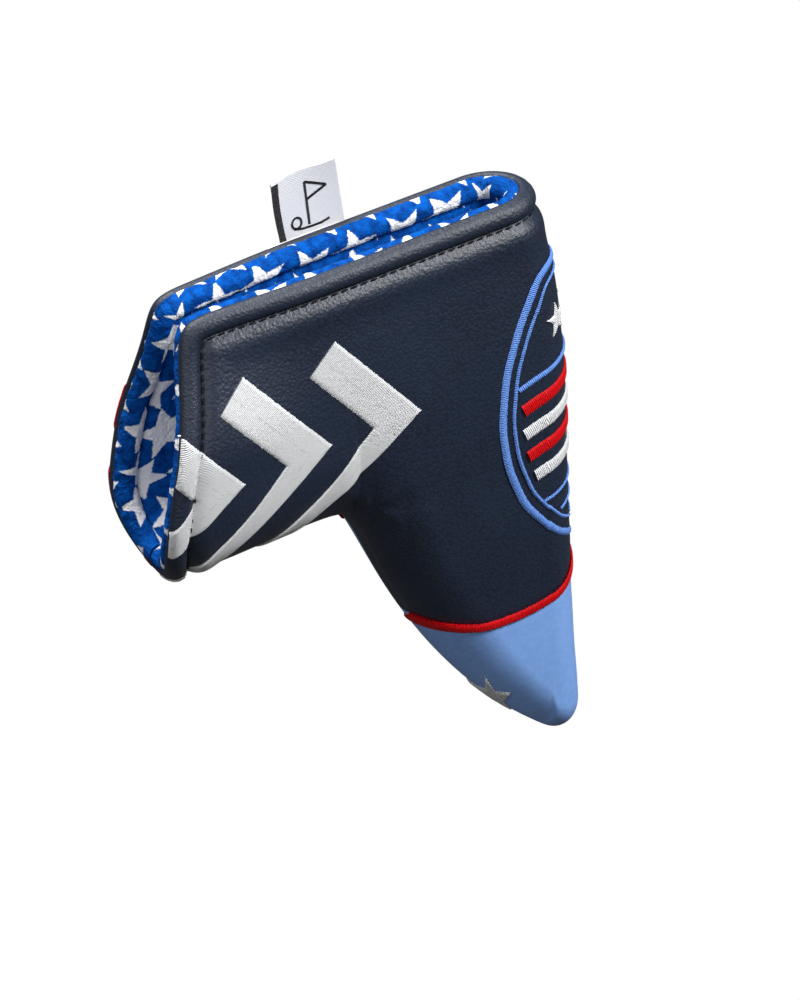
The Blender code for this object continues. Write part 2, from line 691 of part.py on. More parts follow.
def build_crest(shop):
    """Shield of stripes below a line and a star, embroidered round the spine."""
    shield = shop.shape("crest_shield", crest_outline(0.0))
    window = shop.shape("crest_window", crest_outline(CREST_LINE_WIDTH))
    field = shop.shape("crest_field", crest_outline(CREST_LINE_WIDTH + LAYER_GAP))
    border = [("INTERSECT", shield), ("DIFFERENCE", window)]
    shop.layer("crest_border", THREAD_TOP, THREAD_BOTTOM, border, shop.blue_thread)
    chief_top = CREST_TOP - CREST_LINE_WIDTH - LAYER_GAP
    chief_foot = chief_top - CREST_CHIEF_HEIGHT
    bands = [("crest_chief", chief_foot, chief_foot + CREST_BAND_LINE, shop.blue_thread)]
    pitch = (chief_foot - CREST_STRIPES_FOOT) / CREST_STRIPE_COUNT
    for number in range(CREST_STRIPE_COUNT):
        top = chief_foot - pitch * number - CREST_STRIPE_GAP
        foot = chief_foot - pitch * (number + 1)
        finish = shop.white_thread if number % 2 else shop.red_thread
        bands.append((f"crest_stripe_{number + 1}", foot, top, finish))
    for name, foot, top, finish in bands:
        outline = [(-CUTTER_REACH, foot), (CUTTER_REACH, foot), (CUTTER_REACH, top), (-CUTTER_REACH, top)]
        steps = [("INTERSECT", field), ("INTERSECT", shop.shape(name + "_band", outline))]
        shop.layer(name, THREAD_TOP, THREAD_BOTTOM, steps, finish)
    centre = Matrix.Translation((0.0, 0.0, 0.5 * (chief_foot + CREST_BAND_LINE + chief_top)))
    facing = centre @ Matrix.Rotation(0.5 * math.pi, 4, "Z")
    outline = star_outline(CREST_STAR_RADIUS, 0.5 * math.pi)
    cutter = shop.shape("crest_star_outline", outline, -CUTTER_REACH, CREST_STAR_RADIUS, facing)
    star = [("INTERSECT", cutter)]
    shop.layer("crest_star", THREAD_TOP, THREAD_BOTTOM, star, shop.white_thread)


def build_toe_star(shop):
    """Star folded round the lower edge of the toe, facing square out from that edge."""
    x, z = TOE_STAR_PLACE
    facing = Matrix.Translation((x, 0.0, z)) @ Matrix.Rotation(TOE_STAR_TILT, 4, "Y")
    facing = facing @ Matrix.Rotation(0.5 * math.pi, 4, "Z")
    outline = star_outline(TOE_STAR_RADIUS, TOE_STAR_TURN)
    cutter = shop.shape("toe_star_outline", outline, -TOE_STAR_RADIUS, CUTTER_REACH, facing)
    star = [("INTERSECT", cutter)]
    shop.layer("toe_star", THREAD_TOP, THREAD_BOTTOM, star, shop.white_thread)


def plain_piece(shop, name, outline, y_low, y_high, finish, parent, turn=None):
    """A flat piece of this outline that stays in the model as a piece of its own."""
    obj = shop.shape(name, outline, y_low, y_high, turn)
    shop.cutters.objects.unlink(obj)
    shop.pieces.objects.link(obj)
    obj.hide_render = False
    obj.display_type = "TEXTURED"
    obj.data.materials.append(finish)
    obj.parent = parent
    return obj


def build_label(shop):
    """Folded woven label that swings on the seam of the back rim, with a flag badge on its face."""
    left = LABEL_CENTRE - 0.5 * LABEL_WIDTH
    right = LABEL_CENTRE + 0.5 * LABEL_WIDTH
    tail_top = SPINE_HEIGHT - LINING_DROP
    tail_foot = tail_top - LABEL_TAIL_HEIGHT
    outline = [(left, tail_foot), (right, tail_foot), (right, tail_top), (left, tail_top)]
    tail = [("INTERSECT", shop.shape("label_tail_outline", outline, 0.0, CUTTER_REACH))]
    shop.layer("label_tail", THREAD_TOP, THREAD_BOTTOM, tail, shop.ribbon)

    seam_y = 0.5 * MOUTH_TOP_WIDTH + LAYER_GAP + 0.5 * LABEL_THICKNESS
    pivot = bpy.data.objects.new("label_pivot", None)
    pivot.location = (LABEL_CENTRE, seam_y, SPINE_HEIGHT)
    pivot.parent = shop.frame
    shop.pieces.objects.link(pivot)
    foot = LABEL_SEAM_CLEARANCE
    outer = 0.5 * LABEL_THICKNESS
    inner = outer - RIBBON_THICKNESS
    fold = LABEL_HEIGHT - outer
    profile = [(-outer, foot)]
    profile += [(-outer * math.cos(turn), fold + outer * math.sin(turn)) for turn in arc_turns()]
    profile += [(outer, foot), (inner, foot)]
    profile += [(inner * math.cos(turn), fold + inner * math.sin(turn)) for turn in arc_turns()]
    profile += [(-inner, foot)]
    along_rim = Matrix.Rotation(0.5 * math.pi, 4, "Z")
    half = 0.5 * LABEL_WIDTH
    plain_piece(shop, "woven_label", profile, -half, half, shop.ribbon, pivot, along_rim)

    face = -outer - LAYER_GAP
    pole = FLAG_POLE_RADIUS
    base = foot + 0.5 * (LABEL_HEIGHT - BADGE_HEIGHT)
    top = base + BADGE_HEIGHT
    flag = [
        (-pole, base),
        (pole, base),
        (pole, top - FLAG_DROP),
        (FLAG_LENGTH, top - 0.5 * FLAG_DROP),
        (pole, top),
        (-pole, top),
    ]
    plain_piece(shop, "label_flag", flag, face - BADGE_THICKNESS, face, shop.black_thread, pivot)
    place = Matrix.Translation((-BALL_OFFSET, face - 0.5 * BADGE_THICKNESS, base + BALL_RADIUS))
    matrix = place @ Matrix.Rotation(0.5 * math.pi, 4, "X")
    ball = disc("label_ball", BALL_RADIUS, BADGE_THICKNESS, matrix, 20, shop.pieces, pivot)
    ball.data.materials.append(shop.black_thread)


def arc_turns():
    """Angles of the half turn at the label's fold."""
    return [math.pi * step / 6.0 for step in range(7)]


def main():
    shop = Workshop()
    build_pocket(shop)
    for side, finish in (("front", shop.white_thread), ("back", shop.red_thread)):
        build_flap(shop, side)
        build_chevrons(shop, side, finish)
    build_crest(shop)
    build_toe_star(shop)
    build_label(shop)


main()
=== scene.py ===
"""Looks of a padded putter head cover: leather walls, rolled rim, starred plush lining and embroidery.

Every piece is laid on one soft pouch surface. A place on it has three coordinates: u runs along the
wall from the middle of the spine to the shaft side, v runs up from the lower seam to the rim, and
depth runs inwards from the outer leather. Drawing sizes are in metres, measured from the toe.
"""

import json
import logging
import math
from collections.abc import Callable
from dataclasses import dataclass, field
from enum import Enum

import bmesh
import bpy
import numpy as np
from mathutils import Matrix, Vector
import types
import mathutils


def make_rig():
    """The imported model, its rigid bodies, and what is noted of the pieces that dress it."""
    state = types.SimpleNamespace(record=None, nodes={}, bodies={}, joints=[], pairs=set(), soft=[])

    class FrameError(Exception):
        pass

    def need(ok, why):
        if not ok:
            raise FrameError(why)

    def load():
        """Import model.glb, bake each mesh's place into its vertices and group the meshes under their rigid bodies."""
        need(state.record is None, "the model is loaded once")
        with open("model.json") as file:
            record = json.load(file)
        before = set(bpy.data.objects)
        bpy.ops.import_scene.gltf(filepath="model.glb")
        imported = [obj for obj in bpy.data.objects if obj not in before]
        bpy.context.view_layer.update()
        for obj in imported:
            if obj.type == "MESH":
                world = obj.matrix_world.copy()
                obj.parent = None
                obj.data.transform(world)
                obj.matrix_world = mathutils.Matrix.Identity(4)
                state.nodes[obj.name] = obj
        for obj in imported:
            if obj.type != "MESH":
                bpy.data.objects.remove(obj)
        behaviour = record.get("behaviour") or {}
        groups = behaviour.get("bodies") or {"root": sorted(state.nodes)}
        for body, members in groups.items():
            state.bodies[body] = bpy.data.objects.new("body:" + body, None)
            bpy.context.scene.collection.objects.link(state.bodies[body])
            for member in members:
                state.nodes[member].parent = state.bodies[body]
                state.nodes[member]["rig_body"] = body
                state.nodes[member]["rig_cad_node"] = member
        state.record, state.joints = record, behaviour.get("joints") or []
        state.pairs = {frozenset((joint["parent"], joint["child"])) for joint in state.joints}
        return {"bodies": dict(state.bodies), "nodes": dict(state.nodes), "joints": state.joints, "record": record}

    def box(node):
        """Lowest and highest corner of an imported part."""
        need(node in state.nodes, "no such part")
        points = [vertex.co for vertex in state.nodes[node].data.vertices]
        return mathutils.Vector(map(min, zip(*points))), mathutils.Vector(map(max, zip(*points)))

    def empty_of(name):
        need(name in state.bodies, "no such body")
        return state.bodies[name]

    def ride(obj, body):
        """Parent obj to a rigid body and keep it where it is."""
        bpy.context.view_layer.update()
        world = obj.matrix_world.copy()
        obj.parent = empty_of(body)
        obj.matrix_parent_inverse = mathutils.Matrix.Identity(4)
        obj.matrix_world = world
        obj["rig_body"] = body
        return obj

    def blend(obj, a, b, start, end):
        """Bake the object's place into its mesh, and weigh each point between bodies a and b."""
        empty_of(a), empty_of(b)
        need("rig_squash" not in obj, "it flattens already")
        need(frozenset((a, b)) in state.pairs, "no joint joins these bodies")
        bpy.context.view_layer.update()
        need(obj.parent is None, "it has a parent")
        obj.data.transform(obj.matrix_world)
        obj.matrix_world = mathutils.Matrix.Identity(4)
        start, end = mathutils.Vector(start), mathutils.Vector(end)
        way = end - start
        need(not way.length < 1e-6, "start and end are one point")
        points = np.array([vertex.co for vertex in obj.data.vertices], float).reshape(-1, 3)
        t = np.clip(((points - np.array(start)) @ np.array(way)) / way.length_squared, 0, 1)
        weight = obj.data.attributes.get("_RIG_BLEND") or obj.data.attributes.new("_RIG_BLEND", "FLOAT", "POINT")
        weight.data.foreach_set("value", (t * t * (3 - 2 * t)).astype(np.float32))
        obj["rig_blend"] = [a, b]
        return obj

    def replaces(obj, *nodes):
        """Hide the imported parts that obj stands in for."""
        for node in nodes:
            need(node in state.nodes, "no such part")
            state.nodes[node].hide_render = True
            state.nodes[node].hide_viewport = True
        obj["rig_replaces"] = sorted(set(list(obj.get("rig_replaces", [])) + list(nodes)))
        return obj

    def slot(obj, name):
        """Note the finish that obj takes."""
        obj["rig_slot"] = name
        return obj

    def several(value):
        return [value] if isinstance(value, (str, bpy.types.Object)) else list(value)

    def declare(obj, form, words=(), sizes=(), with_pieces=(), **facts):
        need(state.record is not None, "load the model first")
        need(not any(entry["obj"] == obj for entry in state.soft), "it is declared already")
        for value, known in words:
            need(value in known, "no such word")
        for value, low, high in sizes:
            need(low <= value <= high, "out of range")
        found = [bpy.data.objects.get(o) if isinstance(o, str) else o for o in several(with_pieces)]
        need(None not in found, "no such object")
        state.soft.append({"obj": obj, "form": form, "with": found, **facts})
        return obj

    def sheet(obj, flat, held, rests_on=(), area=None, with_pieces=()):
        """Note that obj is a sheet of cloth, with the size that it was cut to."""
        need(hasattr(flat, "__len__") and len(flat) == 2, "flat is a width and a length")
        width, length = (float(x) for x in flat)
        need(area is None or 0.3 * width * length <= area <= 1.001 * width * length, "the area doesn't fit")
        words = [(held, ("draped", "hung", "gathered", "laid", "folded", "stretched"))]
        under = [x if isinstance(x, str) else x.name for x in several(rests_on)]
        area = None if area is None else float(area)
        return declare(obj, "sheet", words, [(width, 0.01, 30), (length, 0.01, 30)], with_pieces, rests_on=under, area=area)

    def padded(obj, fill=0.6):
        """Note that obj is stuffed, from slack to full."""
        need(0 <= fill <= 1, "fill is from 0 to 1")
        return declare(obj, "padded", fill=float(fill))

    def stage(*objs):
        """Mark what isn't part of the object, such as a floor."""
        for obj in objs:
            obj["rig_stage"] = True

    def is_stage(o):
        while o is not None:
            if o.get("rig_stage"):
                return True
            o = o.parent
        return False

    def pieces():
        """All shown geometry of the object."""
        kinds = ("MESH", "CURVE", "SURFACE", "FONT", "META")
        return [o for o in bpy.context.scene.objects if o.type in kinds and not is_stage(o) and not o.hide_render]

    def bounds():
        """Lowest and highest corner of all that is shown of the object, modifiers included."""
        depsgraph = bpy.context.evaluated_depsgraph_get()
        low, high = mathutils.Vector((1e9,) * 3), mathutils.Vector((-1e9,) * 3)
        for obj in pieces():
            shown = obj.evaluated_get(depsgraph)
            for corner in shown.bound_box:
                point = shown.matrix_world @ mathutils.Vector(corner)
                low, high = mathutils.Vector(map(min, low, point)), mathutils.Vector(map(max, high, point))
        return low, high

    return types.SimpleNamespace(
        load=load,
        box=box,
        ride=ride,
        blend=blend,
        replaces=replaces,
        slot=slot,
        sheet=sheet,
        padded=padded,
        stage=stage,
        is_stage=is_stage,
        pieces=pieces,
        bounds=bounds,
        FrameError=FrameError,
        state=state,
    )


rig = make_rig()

LOG = logging.getLogger("putter_head_cover")
SLOTS = {
    "navy": "navy_leather",
    "bead": "navy_leather",
    "navy_thread": "navy_leather",
    "sky": "sky_leather",
    "white_thread": "white_thread",
    "red_thread": "red_thread",
    "blue_thread": "pale_blue_thread",
    "black_thread": "black_thread",
    "plush": "plush",
    "ribbon": "ribbon",
}
SIZE_FILE = "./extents.json"
MM = 0.001
HALF_POINT = math.pi / 5.0  # half of the angle that one point of a star takes
Number = float | np.ndarray
Socket = bpy.types.NodeSocket
Place = Callable[[np.ndarray, np.ndarray, np.ndarray], np.ndarray]


class Side(Enum):
    """The two walls of the pouch; the value is the sign of Y."""

    FRONT = -1
    BACK = 1

    @property
    def word(self) -> str:
        """Name of the wall, as in the names of the bodies and nodes."""
        return self.name.lower()


def ease(share: np.ndarray) -> np.ndarray:
    """Smooth step from 0 to 1."""
    share = np.clip(share, 0.0, 1.0)
    return share * share * (3.0 - 2.0 * share)


def mix(a: Number, b: Number, share: Number) -> Number:
    """Value between a and b."""
    return a + (b - a) * share


def bezier(points: list[tuple[float, float]], share: np.ndarray) -> np.ndarray:
    """Points of a Bezier curve.

    Args:
        points: its control points.
        share: how far along the curve each point lies, from 0 to 1.

    Returns:
        One row of two numbers for each share.
    """
    rows = [np.outer(np.ones_like(share), point) for point in points]
    part = share[:, None]
    while len(rows) > 1:
        rows = [mix(a, b, part) for a, b in zip(rows, rows[1:])]
    return rows[0]


def smoothed(values: np.ndarray, reach: float) -> np.ndarray:
    """Row of values blurred with a bell curve, keeping the slope at both ends.

    Args:
        values: the row.
        reach: standard deviation of the bell curve, in samples.

    Returns:
        The blurred row.
    """
    pad = int(4 * reach)
    steps = np.arange(1, pad + 1)
    before = values[0] - (values[1] - values[0]) * steps[::-1]
    after = values[-1] + (values[-1] - values[-2]) * steps
    bell = np.exp(-0.5 * (np.arange(-pad, pad + 1) / reach) ** 2)
    return np.convolve(np.concatenate([before, values, after]), bell / bell.sum(), "valid")


def lengths_along(path: np.ndarray) -> np.ndarray:
    """Length run along a path at each of its points."""
    return np.r_[0.0, np.cumsum(np.linalg.norm(np.diff(path, axis=0), axis=1))]


def read_at(path: np.ndarray, steps: np.ndarray, at: np.ndarray) -> np.ndarray:
    """Points of a flat path at other lengths; steps are the lengths of its own points."""
    return np.stack([np.interp(at, steps, path[:, axis]) for axis in (0, 1)], axis=1)


def smoothed_path(path: np.ndarray, reach: float) -> np.ndarray:
    """Flat path with both of its coordinates smoothed."""
    return np.stack([smoothed(path[:, axis], reach) for axis in (0, 1)], axis=1)


def directions(path: np.ndarray) -> np.ndarray:
    """Unit direction at each point of a path."""
    slope = np.gradient(path, axis=0)
    return slope / np.linalg.norm(slope, axis=1)[:, None]


def curve_through(knots: list[tuple[float, float]], count: int) -> np.ndarray:
    """Smooth curve past the knots of a section.

    Args:
        knots: points of the section, in order.
        count: how many points the curve has.

    Returns:
        The curve, as count rows of two numbers.
    """
    points = np.array(knots)
    steps = lengths_along(points)
    at = np.linspace(0.0, steps[-1], count * 8)
    fine = smoothed_path(read_at(points, steps, at), len(at) / 28.0)
    return fine[np.linspace(0, len(at) - 1, count).round().astype(int)]


# ------------------------------------------------------------------ the pouch surface


@dataclass
class Pouch:
    """Soft surface of the cover, on the sizes of the working model."""

    height: float = 0.160
    seam_height: float = 0.091
    stem_width: float = 0.065
    mouth_top: float = 0.104
    mouth_heel: float = 0.117
    heel_bulge: float = 0.0055
    toe_width: float = 0.0215
    body_width: float = 0.0340
    body_height: float = 0.095
    top_width: float = 0.0236
    corner_width: float = 0.0200
    side_width: float = 0.0384
    side_height: float = 0.124
    spine_inset: float = 0.0045
    spine_bulge: float = 0.0042
    spine_rise: float = 0.0032
    spine_rounding: float = 0.0120
    toe_rounding: float = 0.0105
    stem_rounding: float = 0.0200
    seam_rounding: float = 0.0240
    corner_rounding: float = 0.0046
    round_share: float = 0.38
    seat: tuple[float, float] = (0.0170, 0.0100)
    toe_curve: tuple = ((-0.0096, 0.0010), (-0.0130, -0.0036), (-0.0165, 0.0024))
    stem_curve: tuple = ((-0.0165, 0.0024), (-0.0320, 0.0150), (-0.0555, 0.0470), (-0.065, 0.091))
    bead_width: float = 0.0052
    overrun: float = 0.008
    foot_blur: float = 3.2 * MM
    rounding_blur: float = 6.0 * MM
    samples: int = 1200

    def __post_init__(self) -> None:
        """Works out the columns of the surface from the sizes."""
        self.spine_end = 0.5 * math.pi * self.spine_rounding
        self.stem_end = self.spine_end + self.stem_width - self.spine_inset - self.spine_rounding
        self.heel_end = self.stem_end + 0.5 * (self.mouth_top + self.mouth_heel) - self.stem_width
        u = np.linspace(0.0, self.heel_end, self.samples)
        spine = np.clip(u / self.spine_end, 0.0, 1.0)
        stem = np.clip((u - self.spine_end) / (self.stem_end - self.spine_end), 0.0, 1.0)
        flap = np.clip((u - self.stem_end) / (self.heel_end - self.stem_end), 0.0, 1.0)
        self.u = u
        self.turn = 0.5 * math.pi * spine
        on_spine, on_flap = u < self.spine_end, u > self.stem_end
        first_top = -self.spine_inset - self.spine_rounding
        top = mix(first_top, -self.stem_width, stem) - flap * (self.mouth_top - self.stem_width)
        round_x = -self.spine_inset - self.spine_rounding * (1 - np.cos(self.turn))
        self.top_x = np.where(on_spine, round_x, top)
        foot = np.where(on_spine[:, None], bezier(self.toe_curve, spine), bezier(self.stem_curve, stem))
        foot_x = foot[:, 0] - flap * (self.mouth_heel - self.stem_width)
        step = self.heel_end / self.samples
        self.foot_x = smoothed(foot_x, self.foot_blur / step)
        self.foot_z = smoothed(foot[:, 1], self.foot_blur / step)
        rounding = mix(self.toe_rounding, self.stem_rounding, np.sqrt(stem))
        reach = smoothed(np.where(on_flap, self.seam_rounding, rounding), self.rounding_blur / step)
        self.fade = (1.0 - stem) ** 2
        self.upright = np.where(on_spine, 1.0, 0.0)
        lean = np.stack([self.top_x - self.foot_x, self.height + self.overrun - self.foot_z], axis=1)
        length = np.linalg.norm(lean, axis=1)
        along = np.gradient(np.stack([self.foot_x, self.foot_z], axis=1), axis=0)
        along /= np.maximum(np.linalg.norm(along, axis=1), 1e-9)[:, None]
        slant = np.abs(lean[:, 0] * along[:, 1] - lean[:, 1] * along[:, 0]) / length
        slant = np.where(on_spine, 1.0, np.clip(slant, 0.25, 1.0))
        drop = lean[:, 1] / length
        self.round_z = self.foot_z + np.minimum(reach / slant, 0.45 * length) * drop
        self.sink = drop / slant

    @property
    def flap_length(self) -> float:
        """Length of the wall past the stem."""
        return self.heel_end - self.stem_end

    def at(self, values: np.ndarray, u: np.ndarray) -> np.ndarray:
        """One of the column values at these u."""
        return np.interp(u, self.u, values)

    def half_width(self, x: np.ndarray, z: np.ndarray) -> np.ndarray:
        """Half of the distance across the two walls, away from the seams and the spine.

        Args:
            x: X of each place, in drawing sizes.
            z: height of each place.

        Returns:
            The half width at each place.
        """
        rise = np.sin(0.5 * math.pi * np.clip(z / self.body_height, 0, 1))
        low = mix(self.toe_width, self.body_width, rise)
        rise = np.clip((z - self.body_height) / (self.height - self.body_height), 0.0, 1.0)
        body = np.where(z < self.body_height, low, mix(self.body_width, self.top_width, rise**2))
        rise = ease((z - self.side_height) / (self.height - self.side_height))
        side = mix(self.side_width, self.corner_width, rise)
        flare = ease((-x - self.stem_width) / (self.mouth_top - self.stem_width))
        return 0.5 * mix(body, side, flare)

    def heel_x(self, z: np.ndarray) -> np.ndarray:
        """X of the shaft side's rim at these heights."""
        share = np.clip((self.height - z) / (self.height - self.seam_height), 0.0, 1.0)
        return -mix(self.mouth_top, self.mouth_heel, share) - self.heel_bulge * np.sin(math.pi * share**2)

    def line_x(self, u: np.ndarray, z: np.ndarray) -> np.ndarray:
        """X of a column's line, with the bulges of the spine and of the shaft side.

        Args:
            u: the columns.
            z: heights on them.

        Returns:
            X at each height.
        """
        foot, top = self.at(self.foot_x, u), self.at(self.top_x, u)
        low = self.at(self.foot_z, u)
        slope = np.clip((z - low) / (self.height + self.overrun - low), 0.0, 1.1)
        on_spine = self.at(self.upright, u)
        x = mix(foot, top, np.where(on_spine > 0, mix(slope, 1.0, 0.95 * on_spine), slope))
        belly = np.sin(math.pi * np.clip(z / self.height, 0, 1) ** 3)
        x = x + self.spine_bulge * self.at(self.fade, u) * belly
        share = np.clip((self.height - z) / (self.height - self.seam_height), 0.0, 1.0)
        flap = np.clip((u - self.stem_end) / self.flap_length, 0.0, 1.2)
        return x - self.heel_bulge * np.sin(math.pi * share**2) * flap**1.5

    def height_at(self, u: np.ndarray, v: np.ndarray, depth: np.ndarray) -> tuple:
        """How high a place of the surface lies.

        Args:
            u: distance along the wall.
            v: share up the wall.
            depth: distance inwards.

        Returns:
            The height, and the angle turned through the lower rounding.
        """
        low = self.at(self.foot_z, u) + depth * self.at(self.sink, u)
        bend = self.at(self.round_z, u)
        turn = 0.5 * math.pi * np.clip(v / self.round_share, 0.0, 1.0)
        z = mix(low, bend, 1.0 - np.cos(turn))
        above = np.clip(v - self.round_share, 0.0, None) / (1.0 - self.round_share)
        return z + (self.height - bend) * above, turn

    def point(self, u: Number, v: Number, depth: Number, side: Side) -> np.ndarray:
        """Places of the surface in the frame.

        Args:
            u: distance along the wall.
            v: share up the wall.
            depth: distance inwards.
            side: the wall.

        Returns:
            Array with x, y and z last.
        """
        u, v, depth = np.broadcast_arrays(np.asarray(u, float), v, depth)
        z, turn = self.height_at(u, v, depth)
        angle = self.at(self.turn, u)
        x = self.line_x(u, z)
        on_spine = self.at(self.upright, u)
        x = x + on_spine * (self.at(self.foot_x, u) - x) * (1.0 - np.sin(turn))
        x = x - depth * np.cos(angle)
        width = (self.half_width(x, z) - depth) * np.sin(turn) * np.sin(angle)
        y = side.value * np.maximum(width, 0.0)
        rise = np.clip(1.0 + x / self.mouth_top, 0.0, 1.0) * np.clip(z / self.height, 0.0, 1.0) ** 2
        return np.stack([x + self.seat[0], y, z + self.spine_rise * rise - self.seat[1]], axis=-1)

    def row_at(self, u: np.ndarray, z: np.ndarray) -> np.ndarray:
        """The v of the outer surface at these heights.

        Args:
            u: distance along the wall.
            z: height on it.

        Returns:
            The share up the wall.
        """
        low, bend = self.at(self.foot_z, u), self.at(self.round_z, u)
        turn = np.arccos(np.clip(1.0 - (z - low) / np.maximum(bend - low, 1e-6), -1.0, 1.0))
        below = self.round_share * turn / (0.5 * math.pi)
        above = self.round_share + (1.0 - self.round_share) * (z - bend) / (self.height - bend)
        return np.where(z < bend, below, above)

    def column_at(self, x: np.ndarray, z: np.ndarray) -> np.ndarray:
        """The u of the outer surface at places of the X-Z plane, away from the spine.

        Args:
            x: X of each place.
            z: height of each place.

        Returns:
            The distance along the wall, in the shape of x.
        """
        shape = x.shape
        x, z = x.ravel(), z.ravel()
        tries = np.linspace(0.6 * self.spine_end, self.heel_end * 1.06, 260)
        lines = self.line_x(tries[None, :], z[:, None])
        found = np.array([np.interp(-a, -row, tries) for a, row in zip(x, lines)])
        return found.reshape(shape)

    def edge_distance(self, x: np.ndarray, z: np.ndarray) -> np.ndarray:
        """Distance below and inside the rim, round its corner."""
        top, heel = self.height - z, 0.98 * (x - self.heel_x(z))
        radius = 1.85 * self.corner_rounding
        corner = radius - np.hypot(np.maximum(radius - top, 0.0), np.maximum(radius - heel, 0.0))
        return np.where((top < radius) & (heel < radius), corner, np.minimum(top, heel))

    def outline(self) -> tuple:
        """The line of the rim from the spine to the lower seam.

        Returns:
            u, place in the X-Z plane, inward normal and length run, for each sample.
        """
        top_u = np.linspace(0.0, self.stem_end + 0.6 * self.flap_length, 260)
        level = np.full_like(top_u, self.height)
        top = np.stack([self.line_x(top_u, level), level], 1)
        corner_x = self.heel_x(np.array([self.height]))[0]
        straight = np.linspace(top[-1, 0], corner_x, 60)[1:]
        bridge = np.stack([straight, np.full_like(straight, self.height)], 1)
        rows = np.linspace(1.0, 0.0, 300)[1:]
        low = self.height_at(np.full_like(rows, self.heel_end), rows, np.zeros_like(rows))[0]
        heel = np.stack([self.heel_x(low), low], 1)
        path = np.concatenate([top, bridge, heel])
        steps = lengths_along(path)
        even = np.linspace(0.0, steps[-1], 520)
        u = np.interp(even, steps[: len(top_u)], top_u)
        spread = self.corner_rounding / (even[1] - even[0])
        path = smoothed_path(read_at(path, steps, even), spread)
        path[u < self.spine_end * 1.2, 1] = self.height
        slope = directions(path)
        return u, path, np.stack([-slope[:, 1], slope[:, 0]], 1), even

    def rim_places(self, reach: np.ndarray) -> tuple:
        """Places at these distances inside the rim, one row for each sample along it.

        Args:
            reach: distances inwards from the rim.

        Returns:
            u and v of each place, and the length run along the rim.
        """
        u, path, normal, run = self.outline()
        x = path[:, :1] + normal[:, :1] * reach
        z = path[:, 1:] + normal[:, 1:] * reach
        near_spine = (u < self.spine_end * 1.5)[:, None]
        columns = np.where(near_spine, u[:, None], self.column_at(x, np.minimum(z, self.height)))
        rows = self.row_at(columns, np.where(near_spine, self.height - reach, z))
        heel_row = self.row_at(np.full(len(path), self.heel_end), path[:, 1])[:, None]
        width = -self.heel_x(path[:, 1:]) - self.stem_width
        heel_column = self.heel_end - reach * self.flap_length / width
        low = ease((self.seam_height + 0.026 - path[:, 1:]) / 0.014)
        low = np.where(near_spine, 0.0, low)
        return mix(columns, heel_column, low), mix(rows, heel_row, low), run

    def drawn_in(self, steps: np.ndarray, v: np.ndarray, margin: float) -> np.ndarray:
        """Columns of a wall that ends inside the rim of the shaft side.

        Args:
            steps: u of each column, out to the shaft side.
            v: share up the wall, as rows by columns.
            margin: distance from the rim to the last column.

        Returns:
            u of each place, as rows by columns.
        """
        z = self.height_at(np.full_like(v, self.heel_end), v, 0 * v)[0]
        shrink = margin * self.flap_length / (-self.heel_x(z) - self.stem_width)
        share = np.clip((steps - self.stem_end) / self.flap_length, 0.0, 1.0)
        return steps[None, :] - share[None, :] * shrink

    def softness(self, x: np.ndarray, z: np.ndarray, side: Side) -> np.ndarray:
        """How far the leather stands proud of the plain surface.

        It adds the sunk seam below the rim and the shoulder beside it, the folds that fan out
        of the inner corner, and a little slack.

        Args:
            x: X of each place, in drawing sizes.
            z: height of each place.
            side: the wall.

        Returns:
            The relief at each place.
        """
        edge = self.edge_distance(x, z)
        groove = -1.5 * MM * np.exp(-((np.maximum(edge - self.bead_width, 0.0) / 0.0017) ** 1.6))
        shoulder = 0.45 * MM * np.exp(-(((edge - 0.0092) / 0.0032) ** 2))
        dx, dz = x + self.stem_width - 0.002, z - self.seam_height - 0.003
        away = np.hypot(dx, dz)
        swing = np.arctan2(dz, -dx)
        folds = 0.42 * MM * np.exp(-away / 0.013) * np.cos(5.0 * swing + 0.6) * ease(away / 0.004)
        phase = 1.7 * side.value
        slack = np.sin(61.0 * x + 47.0 * z + phase) * np.sin(83.0 * z - 39.0 * x + 2.0 * phase)
        slack += 0.6 * np.sin(150.0 * x - 96.0 * z + phase) * np.sin(57.0 * x + 171.0 * z)
        return groove + shoulder + folds + 0.16 * MM * slack * ease(edge / 0.02)

    def bead_depth(self, edge: np.ndarray) -> np.ndarray:
        """Depth of the rolled rim's outer face at these distances from the edge."""
        knots = [0.0, 0.25, 0.7, 1.4, 2.6, 3.9, 4.8, 5.2]
        depths = [1.6, 0.7, 0.15, -0.35, -0.62, -0.35, 0.45, 1.25]
        return np.interp(edge / MM, knots, depths) * MM

    def laid(self, x: np.ndarray, z: np.ndarray, lift: np.ndarray, side: Side) -> np.ndarray:
        """Places lifted off the leather, over the rolled rim too.

        Args:
            x: X of each place, in drawing sizes.
            z: height of each place.
            lift: distance off the leather.
            side: the wall.

        Returns:
            The places in the frame.
        """
        edge = np.maximum(self.edge_distance(x, z), 0.0)
        u = self.column_at(x, z)
        low = self.seam_height + 0.0002
        v = self.row_at(u, np.where(u > self.stem_end, np.maximum(z, low), z))
        relief = np.where(edge < self.bead_width, -self.bead_depth(edge), self.softness(x, z, side))
        return self.point(u, v, -lift - relief, side)

    def round_spine(self, arc: np.ndarray, z: np.ndarray, lift: np.ndarray) -> np.ndarray:
        """Places lifted off the leather round the spine.

        Args:
            arc: signed distance round from the middle of the spine; the front is negative.
            z: height of each place.
            lift: distance off the leather.

        Returns:
            The places in the frame.
        """
        u = np.abs(arc)
        front, back = (self.point(u, self.row_at(u, z), -lift, side) for side in Side)
        return np.where((arc < 0)[..., None], front, back)


# ------------------------------------------------------------------ finishes


